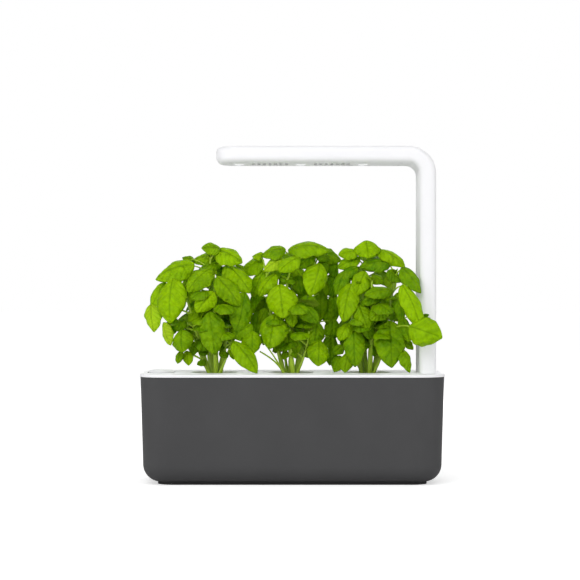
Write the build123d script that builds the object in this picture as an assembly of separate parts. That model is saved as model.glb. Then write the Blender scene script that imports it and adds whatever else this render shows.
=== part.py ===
from build123d import *
import math
import os
from typing import NamedTuple

# Countertop hydroponic garden, in millimetres. +Z is up, +X is the end that carries the
# lamp arm, -Y is the front. The origin is on the table, under the middle of the lid.

# ---- Plan of the lid, from the water inlet's end to the arm's end ----
pod_count = 3
pod_pitch = 76.5
inlet_end = 72.0          # lid's end to the first pod's centre
arm_end = 75.0            # last pod's centre to the lid's other end
lid_width = 125.0
lid_corner = 28.0
lid_thick = 2.8
lid_edge_round = 1.1
lid_overhang = 0.5        # the lid's rim stands this far outside the tank

# ---- Tank and foot ring ----
tank_rise = 103.1
tank_wall = 2.5
tank_taper = 1.75         # degrees off upright
tank_foot_round = 17.0
tank_foot = 2.6           # tank's underside above the table
ring_height = 4.0
ring_inset = 16.9         # foot ring inside the tank's rim
ring_band = 12.0
ring_corner = 16.0
ring_gap = 0.3

# ---- Lid's underside ----
rib_gap = 0.4             # locating rib to the tank's wall
rib_thick = 1.6
rib_drop = 5.0

# ---- Pods ----
cup_flange_r = 28.0
cup_flange_thick = 1.4
cup_top_r = 24.8
cup_foot_r = 20.0
cup_drop = 62.0           # flange's underside to the cup's foot
cup_wall = 1.4
cup_clear = 0.5           # cup in the lid's hole, on the radius
cup_slots = 4
cup_slot_width = 6.0
cup_slot_height = 24.0
cup_slot_lift = 6.0       # above the cup's floor
wick_r = 4.0
wick_drop = 32.0          # below the cup's foot
wick_rise = 14.0          # into the growing medium
wick_clear = 0.4
medium_clear = 0.3
collar_thick = 0.8
collar_hole_r = 15.0
collar_below_lid = 1.4

# ---- Water inlet and float ----
inlet_inset = 19.0        # lid's end to the inlet's centre
inlet_width = 27.0
inlet_length = 58.0
float_cap_r = 12.5
float_cap_rise = 3.0      # above the lid when the tank is full
float_cap_flat_r = 5.5
float_cap_skirt = 4.0     # below the lid's top
float_cap_shell = 1.6
float_cap_shoulder = 0.4  # above the lid's top, where the dome starts
float_cap_bulge = 0.6     # dome's middle outside the chord's middle
float_cap_fullness = 0.72 # dome's height at its middle, as a share of its rise
float_stem_r = 2.0
float_travel = 30.0
float_body_r = 12.0
float_body_height = 14.0
float_body_chamfer = 1.5
float_stop_gap = 1.5
float_clip_r = 4.0
float_clip_thick = 1.5
guide_bar_width = 9.0
guide_bar_thick = 3.0
guide_leg_thick = 3.0
guide_leg_gap = 1.5       # leg to the inlet's end
guide_bore_clear = 0.3

# ---- Lamp arm: a flat bar section, stacked in pieces ----
arm_inset = 16.2          # arm's centre to the lid's end
arm_thick = 16.4
arm_depth = 70.0
arm_round = 6.0
arm_wall = 1.8
extension_length = 62.0
tongue_length = 18.0
tongue_clear = 0.35
core_clear = 0.1
seat_gap = 0.3            # under a tongue's end
contact_width = 3.0
contact_thick = 1.2
contact_offset = 8.0      # each side of the arm's middle
contact_clear = 0.1

# ---- Socket under the lid ----
socket_wall = 2.0
socket_floor = 2.5
contact_stub = 3.7        # below the socket's floor

# ---- Lamp ----
lamp_rise = 100.7         # lamp piece's joint face to its top
lamp_short = 2.4          # tip stops short of the first pod's centre
lamp_bend = 27.3
lamp_tip_round = 22.0
lamp_core_rise = 24.0
lamp_edge_match = 0.01    # an edge this near a line lies on it
cover_inset = 8.0
cover_side = 8.0
cover_corner = 14.0
cover_gap = 0.15
light_count = 3
light_pitch = 61.85
light_first = 22.4        # lamp's tip to the first light
lens_r = 6.0
lens_clear = 0.15
lens_flange_r = 7.6
lens_flange_thick = 1.2
lens_dome = 1.5
lens_dome_middle = (0.6, 0.72)  # a point of the dome, as shares of its radius and depth
chip_size = 5.0
chip_thick = 1.2
board_thick = 1.6
board_width = 18.0
board_end = 10.0
spreader_thick = 2.0
spreader_width = 28.0
vent_count = 7
vent_pitch = 5.5
vent_width = 3.0
vent_length = 24.0
driver_gap = 3.0
driver_length = 20.0
driver_width = 30.0
driver_chip_size = 7.0
driver_chip_inset = 3.0   # board's end to its chip
terminal_length = 7.0
terminal_width = 22.0
terminal_drop = 5.0
wire_size = 1.6
wire_lift = 1.4           # a wire's line above the contact's foot
wire_bend_share = 0.45    # of a wire's shorter run that its bend takes up

# ---- Screws ----
screw_r = 1.3
screw_clear = 0.1
screw_head_r = 2.4
screw_head_thick = 1.0
screw_grip = 7.0
pilot_spare = 0.5         # pilot hole beyond the screw's end
boss_wall = 1.7
cover_screw_side = 19.0
cover_screw_in = 7.0

# ---- Power inlet and its wiring bay ----
jack_from_pod = 35.5      # last pod's centre to the jack's middle
jack_width = 14.0
jack_height = 12.0
jack_depth = 16.0
jack_back_inset = 0.4     # jack's face inside the tank's face
jack_bore_r = 2.85
jack_bore_depth = 10.0
jack_pin_r = 1.05
jack_pin_length = 9.0
notch_clear = 0.6
bay_wall = 1.6
bay_pod_gap = 4.0
bay_rib_gap = 0.4
bay_depth = 26.0
bay_jack_gap = 0.4
bay_boss_gap = 0.8          # boss to the socket, the walls and the wires
bay_wire_gap = 1.0          # notch round each wire
jack_wire_offset = 3.0      # each side of the inlet's middle
jack_wire_run = 6.0         # straight out of the inlet

# ---- Plants ----
leaf_thick = 1.0
stem_foot_r = 1.8
stem_tip_r = 1.0
stem_sides = 6
petiole_size = 1.7
petiole_bite = 3.5        # a leaf's stalk runs this far under its blade
petiole_rise = 10.0       # a stalk leaves its stem this far below the blade
petiole_low = 0.05        # lowest and highest place of a stalk, as shares of its stem
petiole_high = 0.94
blade_overrun = 0.12      # a blade's bent strip past its ends, in radians
blade_shoulder = (0.13, 0.36)  # points of a blade's outline, as shares of length and width
blade_widest = (0.42, 0.5)
blade_waist = (0.78, 0.34)
blade_cut = 2.0           # outline's cutter past the strip

# ---- Worked out from the sizes above ----
boss_r = screw_r + boss_wall
lid_length = inlet_end + (pod_count - 1) * pod_pitch + arm_end
pod_x = [-lid_length / 2 + inlet_end + i * pod_pitch for i in range(pod_count)]
tank_top = tank_foot + tank_rise
lid_top = tank_top + lid_thick
tank_length = lid_length - 2 * lid_overhang
tank_width = lid_width - 2 * lid_overhang
tank_corner = lid_corner - lid_overhang
rib_inset = tank_wall + rib_gap

cup_rest = lid_top - cup_flange_thick
cup_foot = cup_rest - cup_drop
cup_floor = cup_foot + cup_wall
cup_hole_r = cup_top_r + cup_clear
collar_top = lid_top - collar_below_lid
medium_top = collar_top - collar_thick

inlet_x = -lid_length / 2 + inlet_inset
float_cap_foot = lid_top - float_cap_skirt
guide_top = float_cap_foot - float_travel - float_stop_gap
guide_foot = guide_top - guide_bar_thick
float_top = guide_foot - float_stop_gap
float_foot = float_top - float_body_height

arm_x = lid_length / 2 - arm_inset
bore_thick = arm_thick - 2 * arm_wall
bore_depth = arm_depth - 2 * arm_wall
bore_round = arm_round - arm_wall
extension_foot = [lid_top, lid_top + extension_length]
lamp_foot = lid_top + 2 * extension_length
lamp_top = lamp_foot + lamp_rise
lamp_tip = pod_x[0] + lamp_short
lamp_under = lamp_top - arm_thick

socket_foot = lid_top - tongue_length - seat_gap - socket_floor
light_x = [lamp_tip + light_first + i * light_pitch for i in range(light_count)]
roof = lamp_top - arm_wall
cover_top = lamp_under + arm_wall
cover_start = lamp_tip + cover_inset
cover_stop = arm_x - arm_thick / 2 - (lamp_bend - arm_thick)
cover_width = arm_depth - 2 * cover_side
spreader_foot = roof - spreader_thick
board_foot = spreader_foot - board_thick
chip_foot = board_foot - chip_thick
driver_start = light_x[-1] + board_end + driver_gap
driver_stop = driver_start + driver_length
cover_screws = [
    (x, side * cover_screw_side)
    for x in (cover_start + cover_screw_in, cover_stop - cover_screw_in)
    for side in (-1, 1)
]

jack_x = pod_x[-1] + jack_from_pod
jack_back = tank_width / 2 - jack_back_inset
jack_front = jack_back - jack_depth
bay_start = pod_x[-1] + cup_hole_r + bay_pod_gap
bay_foot = tank_top - bay_depth
bay_screw_y = bore_depth / 2 + socket_wall + boss_r + bay_boss_gap
bay_reach = bay_screw_y + boss_r + bay_boss_gap + bay_wall
jack_pocket_front = jack_front - bay_jack_gap
bay_back = max(bay_reach, jack_pocket_front)
bay_front = -bay_reach
bay_inset = rib_inset + rib_thick + bay_rib_gap


# ---- Shared forms ----
def slab(length, width, corner, foot, top, x=0.0, y=0.0):
    """An upright block with rounded corners in plan."""
    outline = Pos(x, y, foot) * RectangleRounded(length, width, corner)
    return extrude(outline, amount=top - foot)


def block(x0, x1, y0, y1, z0, z1):
    """A plain block from its low corner to its high corner."""
    corner = (Align.MIN, Align.MIN, Align.MIN)
    return Pos(x0, y0, z0) * Box(x1 - x0, y1 - y0, z1 - z0, align=corner)


def post(radius, foot, top, x=0.0, y=0.0):
    """An upright cylinder between two heights."""
    low = (Align.CENTER, Align.CENTER, Align.MIN)
    return Pos(x, y, foot) * Cylinder(radius, top - foot, align=low)


def turned(points, x=0.0, y=0.0):
    """A solid turned about an upright axis, from (radius, height) points."""
    face = Plane.XZ * make_face(Polyline(*points, close=True))
    return Pos(x, y, 0) * revolve(face, Axis.Z)


def tank_form(inset, foot=tank_foot):
    """The tank's tapered form, brought in by inset on its sides."""
    outline = Pos(0, 0, tank_top) * RectangleRounded(
        tank_length - 2 * inset, tank_width - 2 * inset, tank_corner - inset
    )
    form = extrude(outline, amount=tank_top - foot, dir=(0, 0, -1), taper=tank_taper)
    floor = form.faces().sort_by(Axis.Z)[0]
    return fillet(floor.edges(), tank_foot_round - inset)


def screw(x, y, head_foot):
    """A pan-head screw driven upwards, its head from head_foot up."""
    head_top = head_foot + screw_head_thick
    shank = post(screw_r, head_top, head_top + screw_grip, x, y)
    return post(screw_head_r, head_foot, head_top, x, y) + shank


def wire(points):
    """A square-section lead: straight runs joined by arcs as large as the runs allow."""
    bends = []
    for a, b, c in zip(points, points[1:], points[2:]):
        before = Vector(*b) - Vector(*a)
        after = Vector(*c) - Vector(*b)
        turn = math.radians(before.get_angle(after))
        bends.append(wire_bend_share * min(before.length, after.length) / math.tan(turn / 2))
    path = FilletPolyline(*points, radius=bends)
    section = Plane(origin=path @ 0, z_dir=path % 0) * Rectangle(wire_size, wire_size)
    return sweep(section, path=path)


def save(name, *pieces):
    """Write one node, which holds one or more separate solids."""
    solids = [solid for piece in pieces for solid in piece.solids()]
    shape = solids[0] if len(solids) == 1 else Compound(solids)
    export_step(shape, f"parts/{name}.step")


# ---- Tank and foot ring ----
def make_tank():
    """A thin tub, notched at the back of its rim for the power inlet."""
    tub = tank_form(0) - tank_form(tank_wall, tank_foot + tank_wall)
    reach = jack_width / 2 + notch_clear
    notch = block(
        jack_x - reach,
        jack_x + reach,
        jack_front,
        lid_width,
        tank_top - jack_height - notch_clear,
        lid_top,
    )
    return tub - notch


def make_base_ring():
    """A foot ring whose lip follows the tank's rounded underside."""
    length = tank_length - 2 * ring_inset
    width = tank_width - 2 * ring_inset
    outer = slab(length, width, ring_corner, 0, ring_height)
    inner = slab(
        length - 2 * ring_band,
        width - 2 * ring_band,
        ring_corner - ring_band / 2,
        0,
        ring_height,
    )
    return outer - inner - tank_form(-ring_gap)


# ---- Lid and what hangs under it ----
def bay_screw_places():
    """Screw places in plan: two beside each end of the arm socket."""
    left = bay_start + bay_wall + boss_r + bay_boss_gap
    past_jack = jack_x + jack_width / 2 + bay_jack_gap + bay_wall + boss_r + bay_boss_gap
    return [(left, -bay_screw_y), (past_jack, bay_screw_y), (arm_x, -bay_screw_y),
            (arm_x, bay_screw_y)]


def bay_form(inset):
    """The wiring bay's outer form round the power inlet, brought in by inset."""
    reach = jack_width / 2 + bay_jack_gap + inset
    pocket = block(
        jack_x - reach,
        jack_x + reach,
        jack_pocket_front - inset,
        lid_width,
        tank_top - jack_height - bay_jack_gap - inset,
        lid_top,
    )
    cut = block(
        bay_start + inset,
        lid_length,
        bay_front + inset,
        bay_back - inset,
        bay_foot + inset,
        tank_top,
    )
    return (tank_form(bay_inset + inset) & cut) - pocket


def make_lid():
    """The lid's plate with its pod holes, inlet, arm slot, rib and bosses."""
    plate = slab(lid_length, lid_width, lid_corner, tank_top, lid_top)
    rim = plate.faces().sort_by(Axis.Z)[-1].edges()
    plate = fillet(rim, lid_edge_round)

    rib_band = block(-lid_length, lid_length, -lid_width, lid_width,
                     tank_top - rib_drop, tank_top)
    rib = (tank_form(rib_inset) - tank_form(rib_inset + rib_thick)) & rib_band
    jack_reach = jack_width / 2 + notch_clear
    rib -= block(jack_x - jack_reach, jack_x + jack_reach, 0, lid_width,
                 tank_top - rib_drop, tank_top)
    lid = plate + rib
    for x, y in bay_screw_places():
        lid += post(boss_r, bay_foot + bay_wall, tank_top, x, y)
    for x, y in bay_screw_places():
        pilot_top = bay_foot + screw_grip + pilot_spare
        lid -= post(screw_r + screw_clear, bay_foot, pilot_top, x, y)

    for x in pod_x:
        lid -= post(cup_hole_r, tank_top, lid_top, x)
        lid -= post(cup_flange_r + cup_clear, cup_rest, lid_top, x)
    inlet = Pos(inlet_x, 0, tank_top) * Rot(0, 0, 90) * SlotOverall(inlet_length, inlet_width)
    lid -= extrude(inlet, amount=lid_thick)
    lid -= slab(bore_thick, bore_depth, bore_round, tank_top, lid_top, arm_x)
    return lid


def make_arm_socket():
    """The cup under the lid that takes the arm's tongue."""
    cup = slab(
        bore_thick + 2 * socket_wall,
        bore_depth + 2 * socket_wall,
        bore_round + socket_wall,
        socket_foot,
        tank_top,
        arm_x,
    )
    cup -= slab(bore_thick, bore_depth, bore_round, socket_foot + socket_floor, tank_top, arm_x)
    for side in (-1, 1):
        cup -= contact_bar(side, socket_foot, tank_top, contact_clear)
    return cup


def contact_bar(side, foot, top, grow=0.0):
    """A flat upright conductor beside the arm's middle, or its slot when grown."""
    half_thick = contact_thick / 2 + grow
    half_width = contact_width / 2 + grow
    y = side * contact_offset
    return block(arm_x - half_thick, arm_x + half_thick, y - half_width, y + half_width, foot, top)


def make_socket_contacts():
    """Two upright contacts through the socket's floor."""
    foot = socket_foot - contact_stub
    top = socket_foot + socket_floor + seat_gap
    return [contact_bar(side, foot, top) for side in (-1, 1)]


def make_wiring_bay():
    """A tray under the lid that keeps the wiring dry."""
    tray = bay_form(0) - bay_form(bay_wall)
    for x, y in bay_screw_places():
        tray -= post(screw_r + screw_clear, bay_foot, bay_foot + bay_wall, x, y)
    notch = jack_wire_offset + wire_size / 2 + bay_wire_gap
    notch_foot = jack_height_middle() - wire_size / 2 - bay_wire_gap
    notch_front = jack_pocket_front - 2 * bay_wall
    return tray - block(jack_x - notch, jack_x + notch, notch_front, bay_back, notch_foot, tank_top)


def jack_height_middle():
    """Height of the power inlet's axis."""
    return tank_top - jack_height / 2


def make_power_jack():
    """The inlet's housing, bored from behind."""
    body = block(
        jack_x - jack_width / 2,
        jack_x + jack_width / 2,
        jack_front,
        jack_back,
        tank_top - jack_height,
        tank_top,
    )
    mouth = Plane(origin=(jack_x, jack_back, jack_height_middle()), z_dir=(0, -1, 0))
    low = (Align.CENTER, Align.CENTER, Align.MIN)
    return body - mouth * Cylinder(jack_bore_r, jack_bore_depth, align=low)


def make_jack_pin():
    """The inlet's centre pin, standing on the bore's blind end."""
    end = Plane(
        origin=(jack_x, jack_back - jack_bore_depth, jack_height_middle()), z_dir=(0, 1, 0)
    )
    low = (Align.CENTER, Align.CENTER, Align.MIN)
    return end * Cylinder(jack_pin_r, jack_pin_length, align=low)


def make_lid_lead():
    """Two wires from the power inlet to the socket's contacts."""
    wires = []
    height = socket_foot - contact_stub + wire_lift
    for side in (-1, 1):
        start_x = jack_x + side * jack_wire_offset
        # Leaves the inlet's inner face, drops into the bay and meets the contact's side.
        route = [
            (start_x, jack_front, jack_height_middle()),
            (start_x, jack_front - jack_wire_run, jack_height_middle()),
            (start_x, jack_front - jack_wire_run, height),
            (start_x, side * contact_offset, height),
            (arm_x - contact_thick / 2, side * contact_offset, height),
        ]
        wires.append(wire(route))
    return wires


# ---- Float ----
def make_float_guide():
    """A bracket under the inlet that steers the float's stem."""
    half = inlet_length / 2 + guide_leg_gap
    low_x = inlet_x - guide_bar_width / 2
    high_x = inlet_x + guide_bar_width / 2
    bracket = block(low_x, high_x, -half - guide_leg_thick, half + guide_leg_thick,
                    guide_foot, guide_top)
    for side in (-1, 1):
        inner = side * half
        outer = side * (half + guide_leg_thick)
        bracket += block(low_x, high_x, min(inner, outer), max(inner, outer), guide_foot, tank_top)
    return bracket - post(float_stem_r + guide_bore_clear, guide_foot, guide_top, inlet_x)


def make_float_cap():
    """The float's domed cap with its stem and the clip at the stem's foot."""
    top = lid_top + float_cap_rise
    shoulder = lid_top + float_cap_shoulder
    inner_r = float_cap_r - float_cap_shell
    dome_r = (float_cap_r + float_cap_flat_r) / 2 + float_cap_bulge
    dome = ThreePointArc(
        (float_cap_r, shoulder),
        (dome_r, lid_top + float_cap_fullness * float_cap_rise),
        (float_cap_flat_r, top),
    )
    profile = Curve() + [
        dome,
        Polyline(
            (float_cap_flat_r, top),
            (0, top),
            (0, float_foot - float_clip_thick),
            (float_clip_r, float_foot - float_clip_thick),
            (float_clip_r, float_foot),
            (float_stem_r, float_foot),
            (float_stem_r, lid_top),
            (inner_r, lid_top),
            (inner_r, float_cap_foot),
            (float_cap_r, float_cap_foot),
            (float_cap_r, shoulder),
        ),
    ]
    return Pos(inlet_x, 0, 0) * revolve(Plane.XZ * make_face(profile), Axis.Z)


def make_float_body():
    """The foam float, held on the stem by its clip."""
    body = post(float_body_r, float_foot, float_top, inlet_x)
    body = chamfer(body.edges().filter_by(GeomType.CIRCLE), float_body_chamfer)
    return body - post(float_stem_r + core_clear, float_foot, float_top, inlet_x)


# ---- Pods ----
def cup_radius(height):
    """The cup's outer radius at a height."""
    share = (height - cup_foot) / cup_drop
    return cup_foot_r + share * (cup_top_r - cup_foot_r)


def make_cup(x):
    """A tapered cup with a flange, side slots and a hole for its wick."""
    outer = turned(
        [(0, cup_foot), (cup_foot_r, cup_foot), (cup_top_r, cup_rest), (cup_flange_r, cup_rest),
         (cup_flange_r, lid_top), (0, lid_top)],
        x,
    )
    inner_foot = cup_radius(cup_floor) - cup_wall
    inner_top = cup_radius(lid_top) - cup_wall
    inner = turned([(0, cup_floor), (inner_foot, cup_floor), (inner_top, lid_top), (0, lid_top)], x)
    cup = outer - inner - post(wick_r + wick_clear, cup_foot, cup_floor, x)
    slot_foot = cup_floor + cup_slot_lift
    for i in range(cup_slots):
        slot = block(0, cup_flange_r, -cup_slot_width / 2, cup_slot_width / 2,
                     slot_foot, slot_foot + cup_slot_height)
        slot -= block(0, cup_foot_r / 2, -cup_slot_width, cup_slot_width,
                      slot_foot, slot_foot + cup_slot_height)
        cup -= Pos(x, 0, 0) * Rot(0, 0, 45 + i * 360 / cup_slots) * slot
    return cup


def make_medium(x):
    """The plug of growing medium, bored for the wick."""
    foot_r = cup_radius(cup_floor) - cup_wall - medium_clear
    top_r = cup_radius(medium_top) - cup_wall - medium_clear
    plug = turned([(0, cup_floor), (foot_r, cup_floor), (top_r, medium_top), (0, medium_top)], x)
    return plug - post(wick_r + wick_clear, cup_floor, cup_floor + wick_rise, x)


def make_wick(x):
    """The felt wick, from the growing medium down into the water."""
    return post(wick_r, cup_foot - wick_drop, cup_floor + wick_rise, x)


def make_collar(x):
    """The paper collar on the growing medium."""
    outer_r = cup_radius(collar_top) - cup_wall - medium_clear
    return post(outer_r, medium_top, collar_top, x) - post(collar_hole_r, medium_top, collar_top, x)


# ---- Arm and lamp ----
def make_arm_tube(foot):
    """One lamp-arm extension: a tube of the arm's section, open at both ends."""
    tube = slab(arm_thick, arm_depth, arm_round, foot, foot + extension_length, arm_x)
    return tube - slab(bore_thick, bore_depth, bore_round, foot, foot + extension_length, arm_x)


def make_arm_core(foot, top):
    """The insert fixed in a tube, whose tongue stands below the tube's foot."""
    inset = 2 * core_clear
    core = slab(bore_thick - inset, bore_depth - inset, bore_round - core_clear, foot, top, arm_x)
    inset = 2 * tongue_clear
    core += slab(
        bore_thick - inset,
        bore_depth - inset,
        bore_round - tongue_clear,
        foot - tongue_length,
        foot,
        arm_x,
    )
    for side in (-1, 1):
        core -= contact_bar(side, foot - tongue_length, top, contact_clear)
    return core


def make_arm_contacts(foot, top):
    """Two conductors through a core, from its tongue's end to its top."""
    return [contact_bar(side, foot - tongue_length, top) for side in (-1, 1)]


def lamp_form(inset, foot, finish=fillet):
    """The lamp's L shape, upright leg and bar, brought in by inset.

    Its long edges are filleted, or chamfered just clear of that fillet for a cavity.
    """
    right = arm_x + arm_thick / 2 - inset
    left = arm_x - arm_thick / 2 + inset
    top = lamp_top - inset
    under = lamp_under + inset
    tip = lamp_tip + inset
    corners = [(right, foot), (right, top), (tip, top), (tip, under), (left, under), (left, foot)]
    side_view = Plane.XZ * make_face(Polyline(*corners, close=True))
    form = extrude(side_view, amount=arm_depth / 2 - inset, both=True)

    def same(a, b):
        return abs(a - b) < lamp_edge_match

    def upright_bend(x, z):
        edges = form.edges().filter_by(Axis.Y)
        return [e for e in edges if same(e.center().X, x) and same(e.center().Z, z)]

    form = fillet(upright_bend(right, top), lamp_bend - inset)
    form = fillet(upright_bend(left, under), lamp_bend - arm_thick + inset)
    tip_edges = [e for e in form.edges().filter_by(Axis.Z) if same(e.center().X, tip)]
    form = fillet(tip_edges, lamp_tip_round - inset)
    long_edges = [
        e
        for e in form.edges()
        if not same(e.center().Z, foot)
        and not (e.geom_type == GeomType.LINE and abs(e.tangent_at(0.5).Y) > 0.9
                 and e.center().X > tip + lamp_edge_match)
    ]
    upright = [e for e in form.edges().filter_by(Axis.Z) if abs(e.center().Y) < arm_depth / 4]
    long_edges = [e for e in long_edges if e not in upright]
    size = arm_round - inset
    return finish(long_edges, size if finish is fillet else size * (2 - math.sqrt(2)))


def cover_outline(grow, foot, top):
    """The lamp cover's outline as a slab, grown on every side."""
    length = cover_stop - cover_start + 2 * grow
    middle = (cover_start + cover_stop) / 2
    return slab(length, cover_width + 2 * grow, cover_corner + grow, foot, top, middle)


def make_lamp_housing():
    """The lamp's moulded shell, with the cover's opening and screw bosses."""
    shell = lamp_form(0, lamp_foot) - lamp_form(arm_wall, lamp_foot, chamfer)
    shell -= cover_outline(cover_gap, lamp_under, cover_top)
    for x, y in cover_screws:
        shell += post(boss_r, cover_top, roof, x, y)
    for x, y in cover_screws:
        pilot_top = lamp_under + screw_head_thick + screw_grip + pilot_spare
        shell -= post(screw_r + screw_clear, cover_top, pilot_top, x, y)
    return shell


def vent_places():
    """Middles of the vent slots, in one bank between each two lights."""
    for left, right in zip(light_x, light_x[1:]):
        middle = (left + right) / 2
        for i in range(vent_count):
            yield middle + (i - (vent_count - 1) / 2) * vent_pitch


def make_lamp_cover():
    """The flush panel under the lamp, with lens holes, vents and screw seats."""
    cover = cover_outline(0, lamp_under, cover_top)
    for x in light_x:
        cover -= post(lens_r + lens_clear, lamp_under, cover_top, x)
    for x in vent_places():
        cover -= block(x - vent_width / 2, x + vent_width / 2, -vent_length / 2, vent_length / 2,
                       lamp_under, cover_top)
    for x, y in cover_screws:
        cover -= post(screw_r + screw_clear, lamp_under, cover_top, x, y)
        cover -= post(screw_head_r + screw_clear, lamp_under, lamp_under + screw_head_thick, x, y)
    return cover


def make_lens(x):
    """One lens: a dome under the cover with a flange that rests on it."""
    middle_r, middle_depth = lens_dome_middle
    dome = ThreePointArc(
        (0, lamp_under - lens_dome),
        (lens_r * middle_r, lamp_under - lens_dome * middle_depth),
        (lens_r, lamp_under),
    )
    profile = Curve() + [
        dome,
        Polyline(
            (lens_r, lamp_under),
            (lens_r, cover_top),
            (lens_flange_r, cover_top),
            (lens_flange_r, cover_top + lens_flange_thick),
            (0, cover_top + lens_flange_thick),
            (0, lamp_under - lens_dome),
        ),
    ]
    return Pos(x, 0, 0) * revolve(Plane.XZ * make_face(profile), Axis.Z)


def make_driver_board():
    """The light timer's board under the roof, with its terminal block and chip."""
    half = driver_width / 2
    foot = roof - board_thick
    board = block(driver_start, driver_stop, -half, half, foot, roof)
    terminal_y = terminal_width / 2
    board += block(driver_stop - terminal_length, driver_stop, -terminal_y, terminal_y,
                   foot - terminal_drop, foot)
    chip_start = driver_start + driver_chip_inset
    half_chip = driver_chip_size / 2
    return board + block(chip_start, chip_start + driver_chip_size, -half_chip, half_chip,
                         foot - board_thick, foot)


def make_lamp_lead():
    """Two wires from the arm's contacts, round the bend, to the timer's terminals."""
    start = lamp_foot + lamp_core_rise
    height = roof - board_thick - terminal_drop / 2
    wires = []
    for side in (-1, 1):
        y = side * contact_offset
        route = [
            (arm_x, y, start),
            (arm_x, y, height),
            (driver_stop, y, height),
        ]
        wires.append(wire(route))
    return wires


# ---- Plants ----
class Stem(NamedTuple):
    """A stem's foot and tip, measured from the pod's centre at the lid's top."""

    foot: tuple
    tip: tuple


class Leaf(NamedTuple):
    """A leaf's base, tip, width, bend in degrees, the way it faces and its stem."""

    base: tuple
    tip: tuple
    width: float
    bend: float
    facing: tuple
    stem: int


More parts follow.
